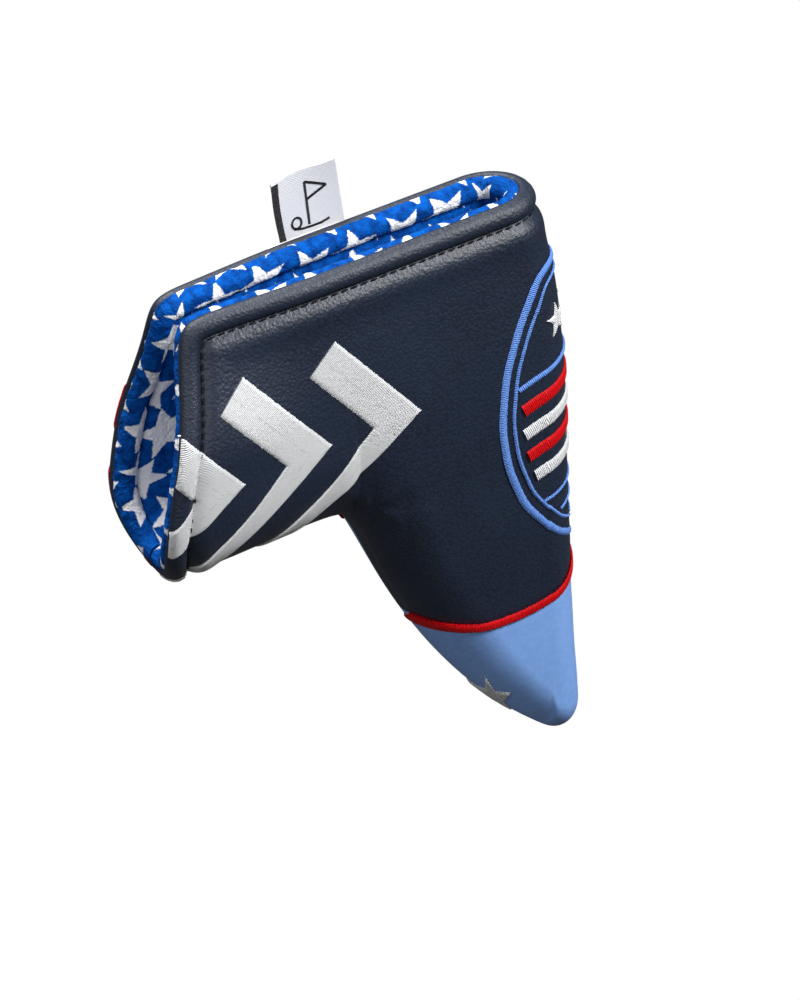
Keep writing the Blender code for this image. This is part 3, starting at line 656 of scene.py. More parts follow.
class Weave:
    """Short way to write a material's nodes."""

    def __init__(self, name: str) -> None:
        """Makes the material and its shader."""
        self.material = bpy.data.materials.new(name)
        self.material.use_nodes = True
        self.tree = self.material.node_tree
        self.shader = self.tree.nodes["Principled BSDF"]
        self.places = self.tree.nodes.new("ShaderNodeTexCoord")

    def put(self, target: Socket, value: Socket | float | tuple) -> None:
        """Links a socket to another, or sets its value."""
        if isinstance(value, Socket):
            self.tree.links.new(value, target)
        else:
            target.default_value = value

    def math(self, operation: str, first: Socket | float, second: Socket | float = 0.0) -> Socket:
        """A Math node."""
        node = self.tree.nodes.new("ShaderNodeMath")
        node.operation = operation
        for socket, value in zip(node.inputs, (first, second)):
            self.put(socket, value)
        return node.outputs[0]

    def scaled(self, place: Socket, factor: float) -> Socket:
        """Coordinates times a number."""
        node = self.tree.nodes.new("ShaderNodeVectorMath")
        node.operation = "SCALE"
        self.put(node.inputs[0], place)
        node.inputs["Scale"].default_value = factor
        return node.outputs[0]

    def split(self, place: Socket) -> list[Socket]:
        """The three coordinates of a place, one by one."""
        node = self.tree.nodes.new("ShaderNodeSeparateXYZ")
        self.put(node.inputs[0], place)
        return list(node.outputs)

    def noise(self, place: Socket, scale: float, detail: float = 3.0, rough: float = 0.55) -> Socket:
        """A noise value."""
        node = self.tree.nodes.new("ShaderNodeTexNoise")
        self.put(node.inputs["Vector"], place)
        node.inputs["Scale"].default_value = scale
        node.inputs["Detail"].default_value = detail
        node.inputs["Roughness"].default_value = rough
        return node.outputs["Fac"]

    def cells(self, place: Socket, scale: float) -> Socket:
        """Distance inside rounded cells, as in pebbled leather."""
        node = self.tree.nodes.new("ShaderNodeTexVoronoi")
        node.feature = "SMOOTH_F1"
        self.put(node.inputs["Vector"], place)
        node.inputs["Scale"].default_value = scale
        node.inputs["Smoothness"].default_value = 0.6
        return node.outputs["Distance"]

    def ramp(self, value: Socket, low: float, high: float, to_low: float, to_high: float) -> Socket:
        """A value carried from one range to another."""
        node = self.tree.nodes.new("ShaderNodeMapRange")
        for socket, number in zip(node.inputs, (value, low, high, to_low, to_high)):
            self.put(socket, number)
        return node.outputs[0]

    def colours(self, share: Socket, first: tuple | Socket, second: tuple | Socket) -> Socket:
        """A mix of two colours."""
        node = self.tree.nodes.new("ShaderNodeMix")
        node.data_type = "RGBA"
        self.put(node.inputs["Factor"], share)
        for socket, colour in zip(node.inputs[6:8], (first, second)):
            self.put(socket, colour if isinstance(colour, Socket) else (*colour, 1.0))
        return node.outputs[2]

    def bump(self, height: Socket, distance: float, strength: float = 1.0) -> None:
        """Raises the surface; several calls add up."""
        node = self.tree.nodes.new("ShaderNodeBump")
        node.inputs["Strength"].default_value = strength
        node.inputs["Distance"].default_value = distance
        self.put(node.inputs["Height"], height)
        socket = self.shader.inputs["Normal"]
        if socket.links:
            self.put(node.inputs["Normal"], socket.links[0].from_socket)
        self.put(socket, node.outputs["Normal"])


@dataclass(frozen=True)
class Leather:
    """Leather with a grain, a little darker in its hollows."""

    name: str
    colour: tuple
    hollow: tuple
    grain: float
    relief: float
    gloss: tuple

    def make(self) -> bpy.types.Material:
        """Builds the material."""
        weave = Weave(self.name)
        place = weave.places.outputs["Object"]
        cells = weave.cells(place, 1.0 / self.grain)
        fine = weave.noise(place, 2.6 / self.grain, 4.0, 0.6)
        broad = weave.noise(place, 38.0, 2.0)
        grain = weave.math("ADD", cells, weave.math("MULTIPLY", fine, 0.55))
        hollow = weave.ramp(grain, 0.35, 1.0, 0.0, 1.0)
        share = weave.math("MULTIPLY", hollow, weave.ramp(broad, 0.3, 0.7, 0.5, 1.0))
        weave.put(weave.shader.inputs["Base Color"], weave.colours(share, self.colour, self.hollow))
        weave.put(weave.shader.inputs["Roughness"], weave.ramp(fine, 0.3, 0.7, *self.gloss))
        weave.shader.inputs["Specular IOR Level"].default_value = 0.5
        weave.bump(weave.math("MULTIPLY", grain, -1.0), self.relief)
        weave.bump(weave.noise(place, 230.0, 2.0), 0.00012, 0.6)
        return weave.material


@dataclass(frozen=True)
class Thread:
    """Embroidery thread laid side by side, with painted shade between the threads and at the stitch ends; the piece's
    UV map counts metres along and across.
    """

    name: str
    colour: tuple
    # colour of the painted shade between threads, a darker copy of colour
    gap: tuple
    pitch: float = 0.00045
    stitch: float = 0.0042
    wander: float = 0.00022

    def make(self) -> bpy.types.Material:
        """Builds the material."""
        weave = Weave(self.name)
        place = weave.places.outputs["UV"]
        lengthwise, crosswise, _ = weave.split(place)
        wander = weave.noise(place, 900.0, 2.0)
        along = weave.math("ADD", lengthwise, weave.math("MULTIPLY", wander, self.wander))
        wave = weave.math("SINE", weave.math("MULTIPLY", along, 2.0 * math.pi / self.pitch))
        ends = weave.math("SINE", weave.math("MULTIPLY", crosswise, 2.0 * math.pi / self.stitch))
        ends = weave.ramp(ends, 0.86, 1.0, 0.0, 1.0)
        ends = weave.math("MULTIPLY", ends, weave.ramp(wander, 0.45, 0.6, 0.0, 1.0))
        # Painted shade: the grooves between threads, and at half strength the stitch ends, darken towards the gap
        # colour.
        groove_shade = weave.ramp(wave, -1.0, -0.3, 0.75, 0.0)
        dark = weave.math("MAXIMUM", groove_shade, weave.math("MULTIPLY", ends, 0.5))
        weave.put(weave.shader.inputs["Base Color"], weave.colours(dark, self.colour, self.gap))
        weave.put(weave.shader.inputs["Roughness"], weave.ramp(wander, 0.3, 0.7, 0.45, 0.6))
        weave.shader.inputs["Specular IOR Level"].default_value = 0.28
        weave.bump(wave, 0.00012, 0.8)
        weave.bump(wander, 0.0002, 0.6)
        return weave.material


@dataclass(frozen=True)
class StarPlush:
    """Short pile printed with five-pointed stars, with painted shade in noise patches; the UV map counts metres on the
    cloth.
    """

    name: str
    ground: tuple
    # colour of the painted shade in the pile, a darker copy of the ground blue
    deep: tuple
    star: tuple
    pitch: float = 0.0128
    reach: float = 0.55
    waist: float = 0.45

    def make(self) -> bpy.types.Material:
        """Builds the material."""
        weave = Weave(self.name)
        flat = weave.places.outputs["UV"]
        fuzz = weave.noise(flat, 1500.0, 2.0)
        tall = weave.noise(flat, 420.0, 3.0)
        spot = weave.split(weave.scaled(flat, 1.0 / self.pitch))
        row = weave.math("FLOOR", spot[1])
        shift = weave.math("MULTIPLY", weave.math("FLOORED_MODULO", row, 2.0), 0.5)
        shifted = weave.math("ADD", spot[0], shift)
        column = weave.math("FLOOR", shifted)
        join = weave.tree.nodes.new("ShaderNodeCombineXYZ")
        weave.put(join.inputs[0], column)
        weave.put(join.inputs[1], row)
        chance = weave.tree.nodes.new("ShaderNodeTexWhiteNoise")
        weave.put(chance.inputs["Vector"], join.outputs[0])
        luck = weave.tree.nodes.new("ShaderNodeSeparateColor")
        weave.put(luck.inputs[0], chance.outputs["Color"])
        centre = [weave.ramp(luck.outputs[k], 0.0, 1.0, 0.44, 0.56) for k in (0, 1)]
        x = weave.math("SUBTRACT", weave.math("FRACT", shifted), centre[0])
        y = weave.math("SUBTRACT", weave.math("FRACT", spot[1]), centre[1])
        twist = weave.math("MULTIPLY", luck.outputs[2], 2.0 * math.pi)
        angle = weave.math("ADD", weave.math("ARCTAN2", y, x), twist)
        fold = weave.math("PINGPONG", angle, HALF_POINT)
        squares = [weave.math("MULTIPLY", part, part) for part in (x, y)]
        radius = weave.math("SQRT", weave.math("ADD", *squares))
        waist = self.waist * self.reach
        notch = (waist * math.cos(HALF_POINT), waist * math.sin(HALF_POINT))
        scale = 1.0 / (self.reach * notch[1])
        first = weave.math("MULTIPLY", weave.math("COSINE", fold), notch[1] * scale)
        second = weave.math("MULTIPLY", weave.math("SINE", fold), (self.reach - notch[0]) * scale)
        edge = weave.math("MULTIPLY", radius, weave.math("ADD", first, second))
        edge = weave.math("ADD", edge, weave.ramp(fuzz, 0.2, 0.8, -0.09, 0.09))
        inside = weave.ramp(edge, 0.92, 1.04, 1.0, 0.0)
        # Painted shade: in noise patches the blue darkens towards its shaded copy.
        blue = weave.colours(weave.ramp(tall, 0.35, 0.65, 0.0, 1.0), self.ground, self.deep)
        weave.put(weave.shader.inputs["Base Color"], weave.colours(inside, blue, self.star))
        weave.shader.inputs["Roughness"].default_value = 0.9
        weave.shader.inputs["Specular IOR Level"].default_value = 0.08
        weave.bump(fuzz, 0.0005, 0.9)
        weave.bump(tall, 0.0009, 0.8)
        return weave.material


@dataclass(frozen=True)
class Ribbon:
    """Woven satin ribbon, with painted shade in the furrows between its weft rows."""

    name: str
    colour: tuple
    gloss: float = 0.36
    weft: float = 0.00042
    warp: float = 0.0003

    def make(self) -> bpy.types.Material:
        """Builds the material."""
        weave = Weave(self.name)
        place = weave.places.outputs["Object"]
        x, _, z = weave.split(place)
        across = weave.math("SINE", weave.math("MULTIPLY", z, 2.0 * math.pi / self.weft))
        along = weave.math("SINE", weave.math("MULTIPLY", x, 2.0 * math.pi / self.warp))
        soft = weave.noise(place, 160.0, 2.0)
        # Painted shade: the furrows between weft rows darken towards a shaded copy of the colour, by an amount that
        # varies with noise.
        shade = tuple(0.82 * part for part in self.colour)
        share = weave.math("MULTIPLY", weave.ramp(across, -1.0, 1.0, 0.6, 0.0), soft)
        weave.put(weave.shader.inputs["Base Color"], weave.colours(share, self.colour, shade))
        weave.put(weave.shader.inputs["Roughness"], weave.ramp(soft, 0.3, 0.7, self.gloss, self.gloss + 0.12))
        weave.bump(weave.math("ADD", across, weave.math("MULTIPLY", along, 0.5)), 0.00005, 0.6)
        return weave.material


# ------------------------------------------------------------------ making pieces


@dataclass
class Bench:
    """Turns places into finished pieces and hangs them on the bodies."""

    pouch: Pouch
    finishes: dict = field(default_factory=dict)
    count: int = 0
    flap_bend: float = 0.021
    label_bend: float = 0.0050
    label_root: float = 0.0008

    def __post_init__(self) -> None:
        """Works out where the flaps and the label bend."""
        hinge = next(joint for joint in self.joints() if joint["child"] == "front_flap")
        axis = Vector(hinge["axis"])
        across = Vector((-axis.z, 0.0, axis.x))
        if across.z < 0:
            across.negate()
        self.bend_start = Vector(hinge["pos_m"])
        self.bend_end = self.bend_start + across * self.flap_bend
        fold = next(joint for joint in self.joints() if joint["child"] == "label")
        self.fold_start = Vector(fold["pos_m"]) + Vector((0.0, 0.0, self.label_root))
        self.fold_end = self.fold_start + Vector((0.0, 0.0, self.label_bend))

    @staticmethod
    def joints() -> list:
        """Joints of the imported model."""
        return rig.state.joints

    def grid(self, name: str, places: np.ndarray, cloth: np.ndarray, outward: bool) -> bpy.types.Object:
        """A sheet of quads.

        Args:
            name: the piece's name.
            places: rows by columns by three, in the frame.
            cloth: rows by columns by two, metres on the cloth for the UV map.
            outward: whether the faces have to be turned over.

        Returns:
            The sheet.
        """
        rows, columns = places.shape[:2]
        bpy.ops.object.select_all(action="DESELECT")
        bpy.ops.mesh.primitive_grid_add(x_subdivisions=columns - 1, y_subdivisions=rows - 1, size=1.0)
        obj = bpy.context.object
        obj.name = obj.data.name = name
        mesh = obj.data
        flat = np.empty(len(mesh.vertices) * 3)
        mesh.vertices.foreach_get("co", flat)
        flat = flat.reshape(-1, 3)
        column = np.rint((flat[:, 0] + 0.5) * (columns - 1)).astype(int)
        row = np.rint((flat[:, 1] + 0.5) * (rows - 1)).astype(int)
        mesh.vertices.foreach_set("co", places[row, column].ravel())
        loops = np.empty(len(mesh.loops), int)
        mesh.loops.foreach_get("vertex_index", loops)
        mesh.uv_layers[0].name = "cloth"
        mesh.uv_layers[0].data.foreach_set("uv", cloth[row, column][loops].ravel())
        if outward:
            mesh.flip_normals()
        mesh.update()
        return obj

    def finish(
        self, obj: bpy.types.Object, finish: str, thick: float, body: str, other: str = "", merge: bool = True
    ) -> bpy.types.Object:
        """Gives a sheet its thickness and finish, and hangs it on its body.

        Args:
            obj: the sheet.
            finish: name of the finish.
            thick: thickness inwards, or 0 for none.
            body: the body that it rides on.
            other: the second body, for a piece that bends between two.
            merge: whether collapsed points are merged first.

        Returns:
            The piece.
        """
        bpy.ops.object.select_all(action="DESELECT")
        obj.select_set(True)
        bpy.context.view_layer.objects.active = obj
        if merge:
            bpy.ops.object.mode_set(mode="EDIT")
            bpy.ops.mesh.select_all(action="SELECT")
            bpy.ops.mesh.remove_doubles(threshold=0.000004)
            bpy.ops.mesh.dissolve_degenerate(threshold=0.000002)
            bpy.ops.object.mode_set(mode="OBJECT")
        if thick:
            shell = obj.modifiers.new("thickness", "SOLIDIFY")
            shell.thickness = thick
            shell.offset = -1.0
            shell.use_even_offset = False
            bpy.ops.object.modifier_apply(modifier=shell.name)
        bpy.ops.object.shade_smooth_by_angle(angle=math.radians(50.0))
        obj.data.materials.clear()
        obj.data.materials.append(self.finishes[finish])
        if other:
            start, end = self.bend_start, self.bend_end
            if other == "label":
                start, end = self.fold_start, self.fold_end
            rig.blend(obj, body, other, start=tuple(start), end=tuple(end))
        else:
            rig.ride(obj, body)
        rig.slot(obj, SLOTS[finish])
        self.count += 1
        LOG.info("%s: %d faces", obj.name, len(obj.data.polygons))
        return obj

    def strip(
        self, name: str, places: np.ndarray, finish: str, thick: float, body: str,
        other: str = "", flip: bool = False,
    ) -> bpy.types.Object:
        """A sheet whose cloth coordinates are the lengths along its rows and columns.

        Args:
            name: the piece's name.
            places: rows by columns by three, in the frame.
            finish: name of the finish.
            thick: thickness inwards.
            body: the body that it rides on.
            other: the second body, for a piece that bends between two.
            flip: whether the faces have to be turned over.

        Returns:
            The piece.
        """
        along = np.linalg.norm(np.diff(places, axis=0), axis=2).mean(axis=1)
        across = np.linalg.norm(np.diff(places, axis=1), axis=2).mean(axis=0)
        lengths = [np.r_[0.0, np.cumsum(steps)] for steps in (along, across)]
        cloth = np.stack(np.meshgrid(*lengths, indexing="ij"), -1)
        obj = self.grid(name, places, cloth, flip)
        return self.finish(obj, finish, thick, body, other)


# ------------------------------------------------------------------ leather


@dataclass
class LeatherWalls:
    """Navy walls, sky-blue toe and the rolled rim."""

    bench: Bench
    thickness: float = 0.0012
    lap: float = 0.15 * MM
    dip: float = 0.35 * MM
    border_curves: tuple = (
        ((-0.0030, 0.0575), (-0.0120, 0.0475), (-0.0360, 0.0445), (-0.0600, 0.0570)),
        ((-0.0030, 0.0575), (-0.0120, 0.0660), (-0.0400, 0.0740), (-0.0660, 0.0880)),
    )

    def border_line(self, side: Side) -> np.ndarray:
        """Points of the border's line on one wall, in the X-Z plane."""
        curve = self.border_curves[0 if side is Side.FRONT else 1]
        return bezier(curve, np.linspace(0.0, 1.0, 120))

    def border_row(self, u: np.ndarray, side: Side) -> np.ndarray:
        """The v of the border at these u, and 0 past the place where it meets the seam."""
        pouch = self.bench.pouch
        line = self.border_line(side)
        columns = pouch.column_at(line[:, 0], line[:, 1])
        inset = np.clip((line[0, 0] - line[:, 0]) / 0.0135, 0.0, 1.0)
        arcs = pouch.spine_rounding * np.arccos(1.0 - inset)
        columns = np.where(inset < 1.0, arcs, np.maximum(columns, pouch.spine_end))
        z = np.interp(u, np.maximum.accumulate(columns), line[:, 1])
        return np.clip(pouch.row_at(u, np.maximum(z, pouch.at(pouch.foot_z, u))), 0.0, 1.0)

    def wall_places(self, u: np.ndarray, v: np.ndarray, side: Side) -> np.ndarray:
        """Places of the leather, with its soft relief and the dip at the border."""
        pouch = self.bench.pouch
        z = pouch.height_at(u, v, np.zeros_like(u))[0]
        x = pouch.line_x(u, z)
        relief = pouch.softness(x, z, side) * ease(v / 0.08)
        border = self.border_row(u[0], side)[None, :] + 0 * v
        gap = np.abs(z - pouch.height_at(u, border, 0 * u)[0])
        relief -= self.dip * np.exp(-((gap / 0.0016) ** 2)) * ease(v / 0.08)
        return pouch.point(u, v, -relief, side)

    def columns(self, end: float, on_spine: int, past_spine: int) -> np.ndarray:
        """Columns of a wall, closer together round the spine.

        Args:
            end: u of the last column.
            on_spine: how many there are round the spine.
            past_spine: how many there are from the end of the spine on.

        Returns:
            u of each column.
        """
        bend = self.bench.pouch.spine_end
        return np.r_[np.linspace(0.0, bend, on_spine)[:-1], np.linspace(bend, end, past_spine)]

    def wall(self, side: Side) -> None:
        """The navy wall from the border to the seam under the rim."""
        pouch = self.bench.pouch
        steps = self.columns(pouch.heel_end, 56, 200)
        rows = np.linspace(0.0, 1.0, 150)[:, None]
        foot = self.border_row(steps, side)
        top = pouch.row_at(steps, np.full_like(steps, pouch.height - pouch.bead_width + self.lap))
        v = mix(foot[None, :], top[None, :], rows)
        u = pouch.drawn_in(steps, v, pouch.bead_width - self.lap)
        cloth = np.stack([u, v * 0.16], -1)
        obj = self.bench.grid(f"{side.word}_leather", self.wall_places(u, v, side), cloth, side is Side.FRONT)
        flap = f"{side.word}_flap"
        self.bench.finish(obj, "navy", self.thickness, "pocket", flap)
        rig.padded(obj, fill=0.7)
        nodes = [f"{flap}_shell", f"{flap}_foam"]
        if side is Side.FRONT:
            nodes += ["pocket_shell", "pocket_foam"]
        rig.replaces(obj, *nodes)

    def toe(self, side: Side) -> None:
        """The smooth toe below the border."""
        steps = self.columns(self.bench.pouch.stem_end * 1.02, 50, 110)
        foot = self.border_row(steps, side)
        last = int(np.argmax(foot <= 1e-4)) or len(steps) - 1
        steps, foot = steps[: last + 1], foot[: last + 1]
        v = np.linspace(0.0, 1.0, 90)[:, None] * foot[None, :]
        u = np.broadcast_to(steps, v.shape)
        cloth = np.stack([u, v * 0.16], -1)
        obj = self.bench.grid(f"{side.word}_toe", self.wall_places(u, v, side), cloth, side is Side.FRONT)
        self.bench.finish(obj, "sky", self.thickness, "pocket")
        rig.padded(obj, fill=0.8)
        if side is Side.FRONT:
            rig.replaces(obj, "toe_panel")

    def bead(self, side: Side) -> None:
        """The rolled rim, from the seam over the edge to the lining."""
        knots = [(5.4, 1.6), (5.15, 1.0), (4.6, 0.15), (3.7, -0.45), (2.6, -0.66), (1.4, -0.35)]
        knots += [(0.5, 0.4), (0.05, 1.4), (0.1, 2.4), (0.7, 3.2), (1.8, 3.8)]
        section = curve_through([(a * MM, b * MM) for a, b in knots], 30)
        u, v, _ = self.bench.pouch.rim_places(section[:, 0])
        places = self.bench.pouch.point(u, v, np.broadcast_to(section[:, 1], u.shape), side)
        flap = f"{side.word}_flap"
        obj = self.bench.strip(f"{side.word}_rim", places, "bead", 0.001, "pocket", flap, side is Side.BACK)
        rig.padded(obj, fill=0.9)
        nodes = [f"{side.word}_rim_bead"]
        if side is Side.FRONT:
            nodes += ["spine_rim_bead", "heel_rim_bead"]
        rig.replaces(obj, *nodes)

    def build(self) -> None:
        """Makes both walls, both halves of the toe and both rims."""
        for side in Side:
            self.wall(side)
            self.toe(side)
            self.bead(side)


# ------------------------------------------------------------------ lining


@dataclass
class PlushLining:
    """Puffed plush edge inside the rim, and the plush walls of the hollow."""

    bench: Bench
    depth: float = 0.0072
    backing: float = 0.0012
    lap: float = 0.5 * MM

    def fluff(self, obj: bpy.types.Object, size: float, height: float) -> None:
        """Ruffles a sheet with soft clumps of pile.

        Args:
            obj: the sheet.
            size: size of a clump.
            height: how far the clumps stand out.
        """
        texture = bpy.data.textures.new(obj.name, "CLOUDS")
        texture.noise_scale = size
        texture.noise_depth = 2
        bpy.context.view_layer.objects.active = obj
        ruffle = obj.modifiers.new("pile", "DISPLACE")
        ruffle.texture = texture
        ruffle.texture_coords = "LOCAL"
        ruffle.strength = height
        bpy.ops.object.modifier_apply(modifier=ruffle.name)

    def edge(self, side: Side) -> None:
        """The puffed strip that follows the rim."""
        knots = [(1.4, 2.6), (0.3, 2.9), (0.0, 3.9), (0.7, 5.8), (2.2, 7.3), (3.8, 7.6)]
        knots += [(5.0, 7.0), (5.7, 5.8), (5.9, 4.6)]
        section = curve_through([(a * MM, b * MM) for a, b in knots], 26)
        u, v, run = self.bench.pouch.rim_places(section[:, 0])
        places = self.bench.pouch.point(u, v, np.broadcast_to(section[:, 1], u.shape), side)
        reach = lengths_along(section)
        cloth = np.stack(np.meshgrid(run + 0.3 * side.value, reach + 0.009, indexing="ij"), -1)
        obj = self.bench.grid(f"{side.word}_plush_edge", places, cloth, side is Side.BACK)
        self.fluff(obj, 0.0022, 0.0007)
        self.bench.finish(obj, "plush", self.backing, "pocket", f"{side.word}_flap")
        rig.padded(obj, fill=0.8)
        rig.replaces(obj, f"{side.word}_flap_lining")

    def wall(self, side: Side) -> None:
        """The plush wall below the strip, down to the toe."""
        pouch = self.bench.pouch
        steps = np.linspace(0.0, pouch.heel_end, 210)
        top = pouch.row_at(steps, np.full_like(steps, pouch.height - pouch.bead_width + self.lap))
        v = np.linspace(0.0, 1.0, 130)[:, None] * top[None, :]
        u = pouch.drawn_in(steps, v, pouch.bead_width - self.lap)
        z = pouch.height_at(u, v, 0 * v)[0]
        edge = pouch.edge_distance(pouch.line_x(u, z), z)
        depth = self.depth - 1.8 * MM * np.exp(-((np.maximum(edge - 0.0048, 0.0) / 0.0024) ** 1.5))
        cloth = np.stack([u * 1.05 + 0.2 * side.value, z], -1)
        obj = self.bench.grid(f"{side.word}_plush_wall", pouch.point(u, v, depth, side), cloth, side is Side.BACK)
        self.fluff(obj, 0.0024, 0.0006)
        self.bench.finish(obj, "plush", self.backing, "pocket", f"{side.word}_flap")
        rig.padded(obj, fill=0.6)
        if side is Side.FRONT:
            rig.replaces(obj, "pocket_lining")

    def build(self) -> None:
        """Makes both strips and both walls."""
        for side in Side:
            self.edge(side)
            self.wall(side)


# ------------------------------------------------------------------ embroidery


@dataclass
class Embroidery:
    """Arrows, border, crest and star, in satin stitches that stand a little proud."""

    bench: Bench
    leather: LeatherWalls
    tips: tuple = (-0.0978, -0.0729, -0.0479)
    tip_height: float = 0.1185
    arm_top: float = 0.1437
    arm_width: float = 0.0105
    arm_angle: float = math.radians(52.5)
    lower_edge: tuple = ((0.0, 0.0), (-0.0135, -0.0084), (-0.0290, -0.0195), (-0.0385, -0.0272))
    lower_notch_edge: tuple = ((-0.0132, 0.0), (-0.0245, -0.0092), (-0.0355, -0.0180), (-0.0455, -0.0272))
    lift: float = 0.00055
    thread: float = 0.0004
    arm_thickness: float = 0.0007
    line_thickness: float = 0.0006
    border_width: float = 0.0027
    crest_top: float = 0.142
    crest_foot: float = 0.060
    crest_half: float = 0.0315

    def swell(self, share: np.ndarray, width: float) -> np.ndarray:
        """Height of a row of stitches across its width, round at both edges."""
        edge = np.minimum(share, 1.0 - share) * width
        return self.lift * np.sqrt(np.clip(edge / 0.0007, 0.06, 1.0))

    def arm(self, name: str, outer: np.ndarray, inner: np.ndarray, side: Side, finish: str) -> bpy.types.Object:
        """One arm of an arrow, clipped at the rim and at the lower seam.

        Args:
            name: the piece's name.
            outer: points of one long edge, in the X-Z plane.
            inner: points of the other long edge, as many.
            side: the wall.
            finish: name of the finish.

        Returns:
            The arm.
        """
        pouch = self.bench.pouch
        length = np.linalg.norm(np.diff(outer, axis=0), axis=1).sum()
        rows, columns = int(length / self.thread), 26
        s = np.linspace(0.0, 1.0, rows)[:, None]
        at = np.linspace(0.0, 1.0, len(outer))
        rails = [read_at(rail, at, s[:, 0]) for rail in (outer, inner)]
        if len(outer) > 2:
            rails = [smoothed_path(rail, 7.0) for rail in rails]
        chance = np.random.default_rng(len(name) * 7 + rows)
        fray = chance.uniform(-0.00012, 0.00012, (rows, 2))
        t = np.linspace(0.0, 1.0, columns)[None, :, None]
        flat = mix(rails[0][:, None], rails[1][:, None], t)
        across = rails[1] - rails[0]
        across /= np.linalg.norm(across, axis=1)[:, None]
        flat[:, 0] += fray[:, :1] * across
        flat[:, -1] += fray[:, 1:] * across
        x, z = flat[..., 0], flat[..., 1]
        outside = (x < pouch.heel_x(z)) | (z < pouch.seam_height)
        x = np.maximum(x, pouch.heel_x(z))
        lift = self.swell(t[..., 0] + 0 * x, self.arm_width)
        places = pouch.laid(x, np.maximum(z, pouch.seam_height + 0.0002), lift, side)
        cloth = np.stack([s * length + 0 * x, t[..., 0] * self.arm_width + 0 * x], -1)
        obj = self.bench.grid(name, places, cloth, side is Side.FRONT)
        self.drop(obj, outside)
        self.bench.finish(obj, finish, self.arm_thickness, "pocket", f"{side.word}_flap")
        return obj

    @staticmethod
    def drop(obj: bpy.types.Object, outside: np.ndarray) -> None:
        """Deletes the faces whose corners all lie outside.

        Args:
            obj: the sheet.
            outside: whether each of its points lies outside, as rows by columns.
        """
        cage = bmesh.new()
        cage.from_mesh(obj.data)
        cage.verts.ensure_lookup_table()
        marks = outside.ravel()
        doomed = [face for face in cage.faces if all(marks[vertex.index] for vertex in face.verts)]
        bmesh.ops.delete(cage, geom=doomed, context="FACES")
        cage.to_mesh(obj.data)
        cage.free()

    def arrows(self, side: Side) -> None:
        """Three arrows that point to the spine."""
        finish = "white_thread" if side is Side.FRONT else "red_thread"
        rise = np.array([-math.cos(self.arm_angle), math.sin(self.arm_angle)])
        square = np.array([math.sin(self.arm_angle), math.cos(self.arm_angle)])
        reach = (self.arm_top - self.tip_height) / rise[1]
        below = np.array(self.lower_edge)
        within = np.array(self.lower_notch_edge)
        for number, tip_x in enumerate(self.tips, start=1):
            tip = np.array([tip_x, self.tip_height])
            notch = tip - (self.arm_width / math.sin(self.arm_angle), 0.0)
            end = tip + rise * reach
            inner = end - square * self.arm_width
            name = f"{side.word}_arrow_{number}"
            upper = self.arm(f"{name}_upper", np.array([tip, end]), np.array([notch, inner]), side, finish)
            lower = self.arm(f"{name}_lower", tip + within, tip + below, side, finish)
            names = [f"{side.word}_chevron_{number}_{part}" for part in ("upper", "lower")]
            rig.replaces(upper, names[0])
            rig.replaces(lower, names[1])

    def band(
        self, name: str, path: np.ndarray, width: float, finish: str, place: Place, closed: bool = False
    ) -> bpy.types.Object:
        """A line of satin stitches along a path.

        Args:
            name: the piece's name.
            path: rows of two numbers, in the plane that place works in.
            width: the line's width.
            finish: name of the finish.
            place: function of the two coordinates and the lift that gives places in the frame.
            closed: whether the path returns to its start.

        Returns:
            The line.
        """
        steps = lengths_along(path)
        count = max(int(steps[-1] / self.thread), 8)
        even = np.linspace(0.0, steps[-1], count)
        path = read_at(path, steps, even)
        slope = directions(path)
        if closed:
            slope = np.roll(path, -1, 0) - np.roll(path, 1, 0)
            slope[0] = slope[-1] = path[1] - path[-2]
            slope /= np.linalg.norm(slope, axis=1)[:, None]
        normal = np.stack([-slope[:, 1], slope[:, 0]], 1)
        chance = np.random.default_rng(count)
        t = np.linspace(-0.5, 0.5, 9)[None, :] * (width + chance.uniform(-0.0001, 0.0001, (count, 1)))
        first = path[:, :1] + normal[:, :1] * t
        second = path[:, 1:] + normal[:, 1:] * t
        lift = self.swell(np.linspace(0.0, 1.0, 9)[None, :] + 0 * t, width)
        places = place(first, second, lift)
        cloth = np.stack([even[:, None] + 0 * t, t + 0.02], -1)
        obj = self.bench.grid(name, places, cloth, True)
        return self.bench.finish(obj, finish, self.line_thickness, "pocket")

    def border(self) -> None:
        """The red line between the navy leather and the toe, round the spine and down to the seam."""
        pouch, points = self.bench.pouch, []
        for side in (Side.FRONT, Side.BACK):
            u = np.linspace(0.0, pouch.stem_end, 400)
            v = self.leather.border_row(u, side)
            last = int(np.argmax(v <= 1e-4)) or len(u) - 1
            rows = np.stack([u[: last + 1] * side.value, v[: last + 1]], 1)
            points.append(rows[::-1] if side is Side.FRONT else rows[1:])
        line = np.concatenate(points)
        across, width = np.linspace(-0.5, 0.5, 9), self.border_width
        u, signs = np.abs(line[:, :1]), line[:, :1] < 0
        z = pouch.height_at(u, line[:, 1:], 0 * u)[0]
        chance = np.random.default_rng(3)
        edges = width * across[None, :] + chance.uniform(-0.00012, 0.00012, (len(line), 1))
        rows = pouch.row_at(u + 0 * edges, np.maximum(z + edges, pouch.at(pouch.foot_z, u) + 0.0001))
        lift = self.swell(across[None, :] + 0.5 + 0 * edges, width) + 0.0002
        front, back = (pouch.point(u + 0 * edges, rows, -lift, side) for side in Side)
        places = np.where(signs[..., None], front, back)
        obj = self.bench.strip("toe_border", places, "red_thread", self.arm_thickness, "pocket", flip=True)
        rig.replaces(obj, "toe_border_stitch")

